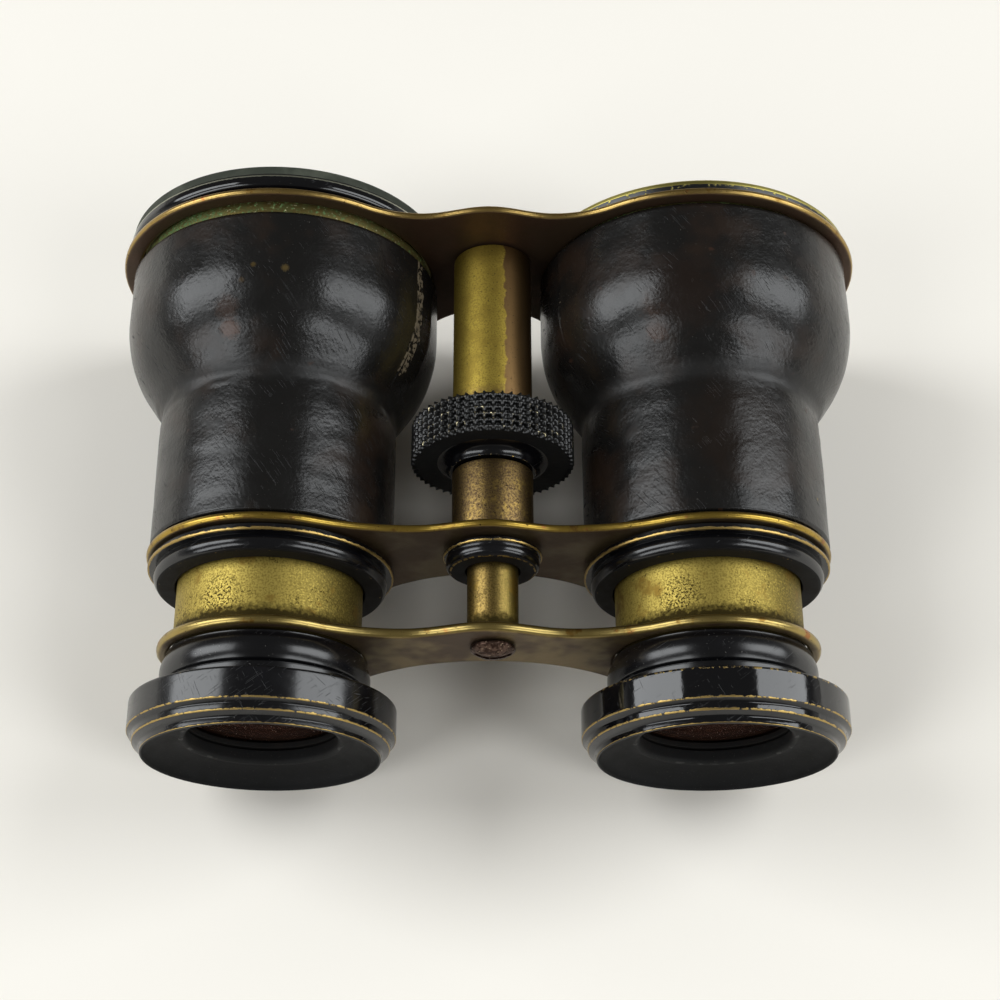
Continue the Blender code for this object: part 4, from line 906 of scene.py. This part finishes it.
def slotted_screw(name, head, way, body, node, seed):
    """Domed screw with a slot filed across it."""
    # The file's length, height and width, and how far over the head's seat its middle runs
    file_size = Vector((8.0, 1.2, 0.8))
    file_lift = 1.3
    crown = dome(-0.4, -1.1, 3.1)
    profile = crown[:-1] + [(-0.4, 3.1, 0.1), (0.0, 3.1, 0.05), (0.0, 1.3), (5.5, 1.3), (5.5, 0.0)]
    profile = [(head + way * station, *rest) for station, *rest in profile]
    if way < 0:
        profile.reverse()
    screw = turned(name, profile, COLUMN_X, COLUMN_LIFT, [browned_steel(name + "_browned_steel", seed)],
                   body, node, steps=96)
    bm = bmesh.new()
    bmesh.ops.create_cube(bm, size=1)
    bmesh.ops.scale(bm, vec=file_size * MM, verts=bm.verts)
    bmesh.ops.translate(bm, vec=Vector((0, head - way * file_lift, 0)) * MM, verts=bm.verts)
    mesh = bpy.data.meshes.new(name + "_file")
    bm.to_mesh(mesh)
    bm.free()
    tool = new_object(name + "_file", mesh)
    tool.matrix_world = screw.matrix_world
    cut = screw.modifiers.new("slot", "BOOLEAN")
    cut.operation = "DIFFERENCE"
    cut.solver = "EXACT"
    cut.object = tool
    bpy.context.view_layer.update()
    filed = bpy.data.meshes.new_from_object(screw.evaluated_get(bpy.context.evaluated_depsgraph_get()))
    screw.modifiers.clear()
    screw.data = filed
    bpy.data.objects.remove(tool)
    filed.set_sharp_from_angle(angle=radians(35))


def bridges():
    """The three brass bridges."""
    bridge("eyepiece_bridge", bridge_outline(15.2, 12.4, 9.7, 11.5, -0.3), 14.0, 15.5, 13.4, 1.6, 0.7,
           bridge_brass("eyepiece_bridge_filed_brass", 60, "a08c54", "746340"), "eyepieces")
    bridge("middle_bridge", bridge_outline(17.7, 15.2, 13.1, 10.2, -2.2), 28.0, 29.2, 15.5, 4.85, 0.56,
           bridge_brass("middle_bridge_filed_brass", 66, "a5893e", "5e5038"), "barrels")
    bridge("objective_bridge", bridge_outline(24.8, 20.3, 18.5, 9.5, -7.2), 75.2, 76.3, 22.3, 1.6, 0.5,
           bridge_brass("objective_bridge_filed_brass", 72, "a0864f", "523d2e"), "barrels")


def stage_and_light():
    """White table, a soft window behind and one before the glasses on either side, and a dim room."""
    mesh = bpy.data.meshes.new("table_top")
    half = 1.5
    mesh.from_pydata([(-half, -half, 0), (half, -half, 0), (half, half, 0), (-half, half, 0)], [],
                     [(0, 1, 2, 3)])
    table = new_object("table_top", mesh)
    # Warm white laminate: even and matt, with soft shadows and hardly a reflection
    material, tree = new_finish("table_matt_white_laminate")
    tree.nodes["Principled BSDF"].inputs["Specular IOR Level"].default_value = 0.1
    lay_coats(tree, {"colour": "f7f2e9", "metal": 0.0, "rough": 0.9})
    mesh.materials.append(material)
    # Each window's side, direction, width as a share of its reach, reach in metres and radiance
    back_way = Vector((0.77, 0.14, 0.61))
    front_way = Vector((0.68, -0.50, 0.53))
    tall_share = 0.78
    for name, side, way, wide, reach, radiance in (
            ("left_window", -1, back_way, 0.46, 0.75, 5.4),
            ("right_window", 1, back_way, 0.46, 0.75, 5.0),
            ("left_front_window", -1, front_way, 0.29, 1.5, 4.7),
            ("right_front_window", 1, front_way, 0.29, 1.5, 4.7)):
        lamp = bpy.data.lights.new(name, "AREA")
        lamp.shape = "RECTANGLE"
        lamp.size = tall_share * reach
        lamp.size_y = wide * reach
        lamp.energy = radiance * pi * lamp.size * lamp.size_y
        lamp.color = (0.95, 0.98, 1.0)
        light = new_object(name, lamp)
        away = Vector((way.x * side, way.y, way.z)).normalized()
        tall = Vector((-away.z * side, 0, abs(away.x))).normalized()
        light.matrix_world = (Matrix.Translation(away * reach)
                              @ Matrix((tall, away.cross(tall), away)).transposed().to_4x4())
        light.visible_camera = False
    # The room is paler low down than overhead
    world = bpy.data.worlds.new("dim_room")
    bpy.context.scene.world = world
    world.use_nodes = True
    tree = world.node_tree
    direction = add(tree, "TexCoord")
    way = add(tree, "SeparateXYZ", {0: (direction, "Generated")})
    walls = add(tree, "MapRange", {"Value": (way, "Z"), "From Min": 0.03, "From Max": 0.15,
                                   "To Min": 0.5, "To Max": 0.13}, interpolation_type="SMOOTHSTEP")
    background = tree.nodes["Background"]
    background.inputs["Color"].default_value = tone("fffdf8")
    tree.links.new(walls.outputs[0], background.inputs["Strength"])


def camera():
    """The photograph's camera: close above the eyepieces, looking down and a little forward."""
    data = bpy.data.cameras.new("camera")
    data.lens = CAMERA_LENS
    data.sensor_width = CAMERA_SENSOR
    data.shift_x = CAMERA_SHIFT
    data.clip_start = 0.01
    view = new_object("camera", data)
    view.matrix_world = (UPRIGHT @ Matrix.Translation(Vector(CAMERA_PLACE) * MM)
                         @ Matrix.Rotation(CAMERA_TILT, 4, "X"))
    bpy.context.scene.camera = view


bpy.context.scene.view_settings.view_transform = "Standard"
camera()
stage_and_light()
bridges()
for number, (side, x) in enumerate(SIDES):
    seed = 1.0 + 100 * number
    eyecup(side, x, seed)
    eyepiece_neck(side, x, seed + 12)
    eye_lens(side, x, seed + 24)
    draw_tube(side, x, seed + 34)
    guide_collar(side, x, seed + 46)
    leather_cover(side, x, seed + 58)
    barrel_shell(side, x, seed + 66)
    objective(side, x, seed + 76)
objective_bezel(-BARREL_X, 90)
objective_rim(BARREL_X, 92)
column()
focus_wheel()
slotted_screw("rod_screw_filed", 13.7, 1, "eyepieces", "rod_screw", 80)
slotted_screw("column_screw_filed", 76.6, -1, "barrels", "column_screw", 84)
for node, finish in (("focus_nut", drawn_brass("nut_turned_brass", 86)),
                     ("focus_screw", cut_steel("thread_cut_steel", 88))):
    frame["nodes"][node].material_slots[0].material = finish
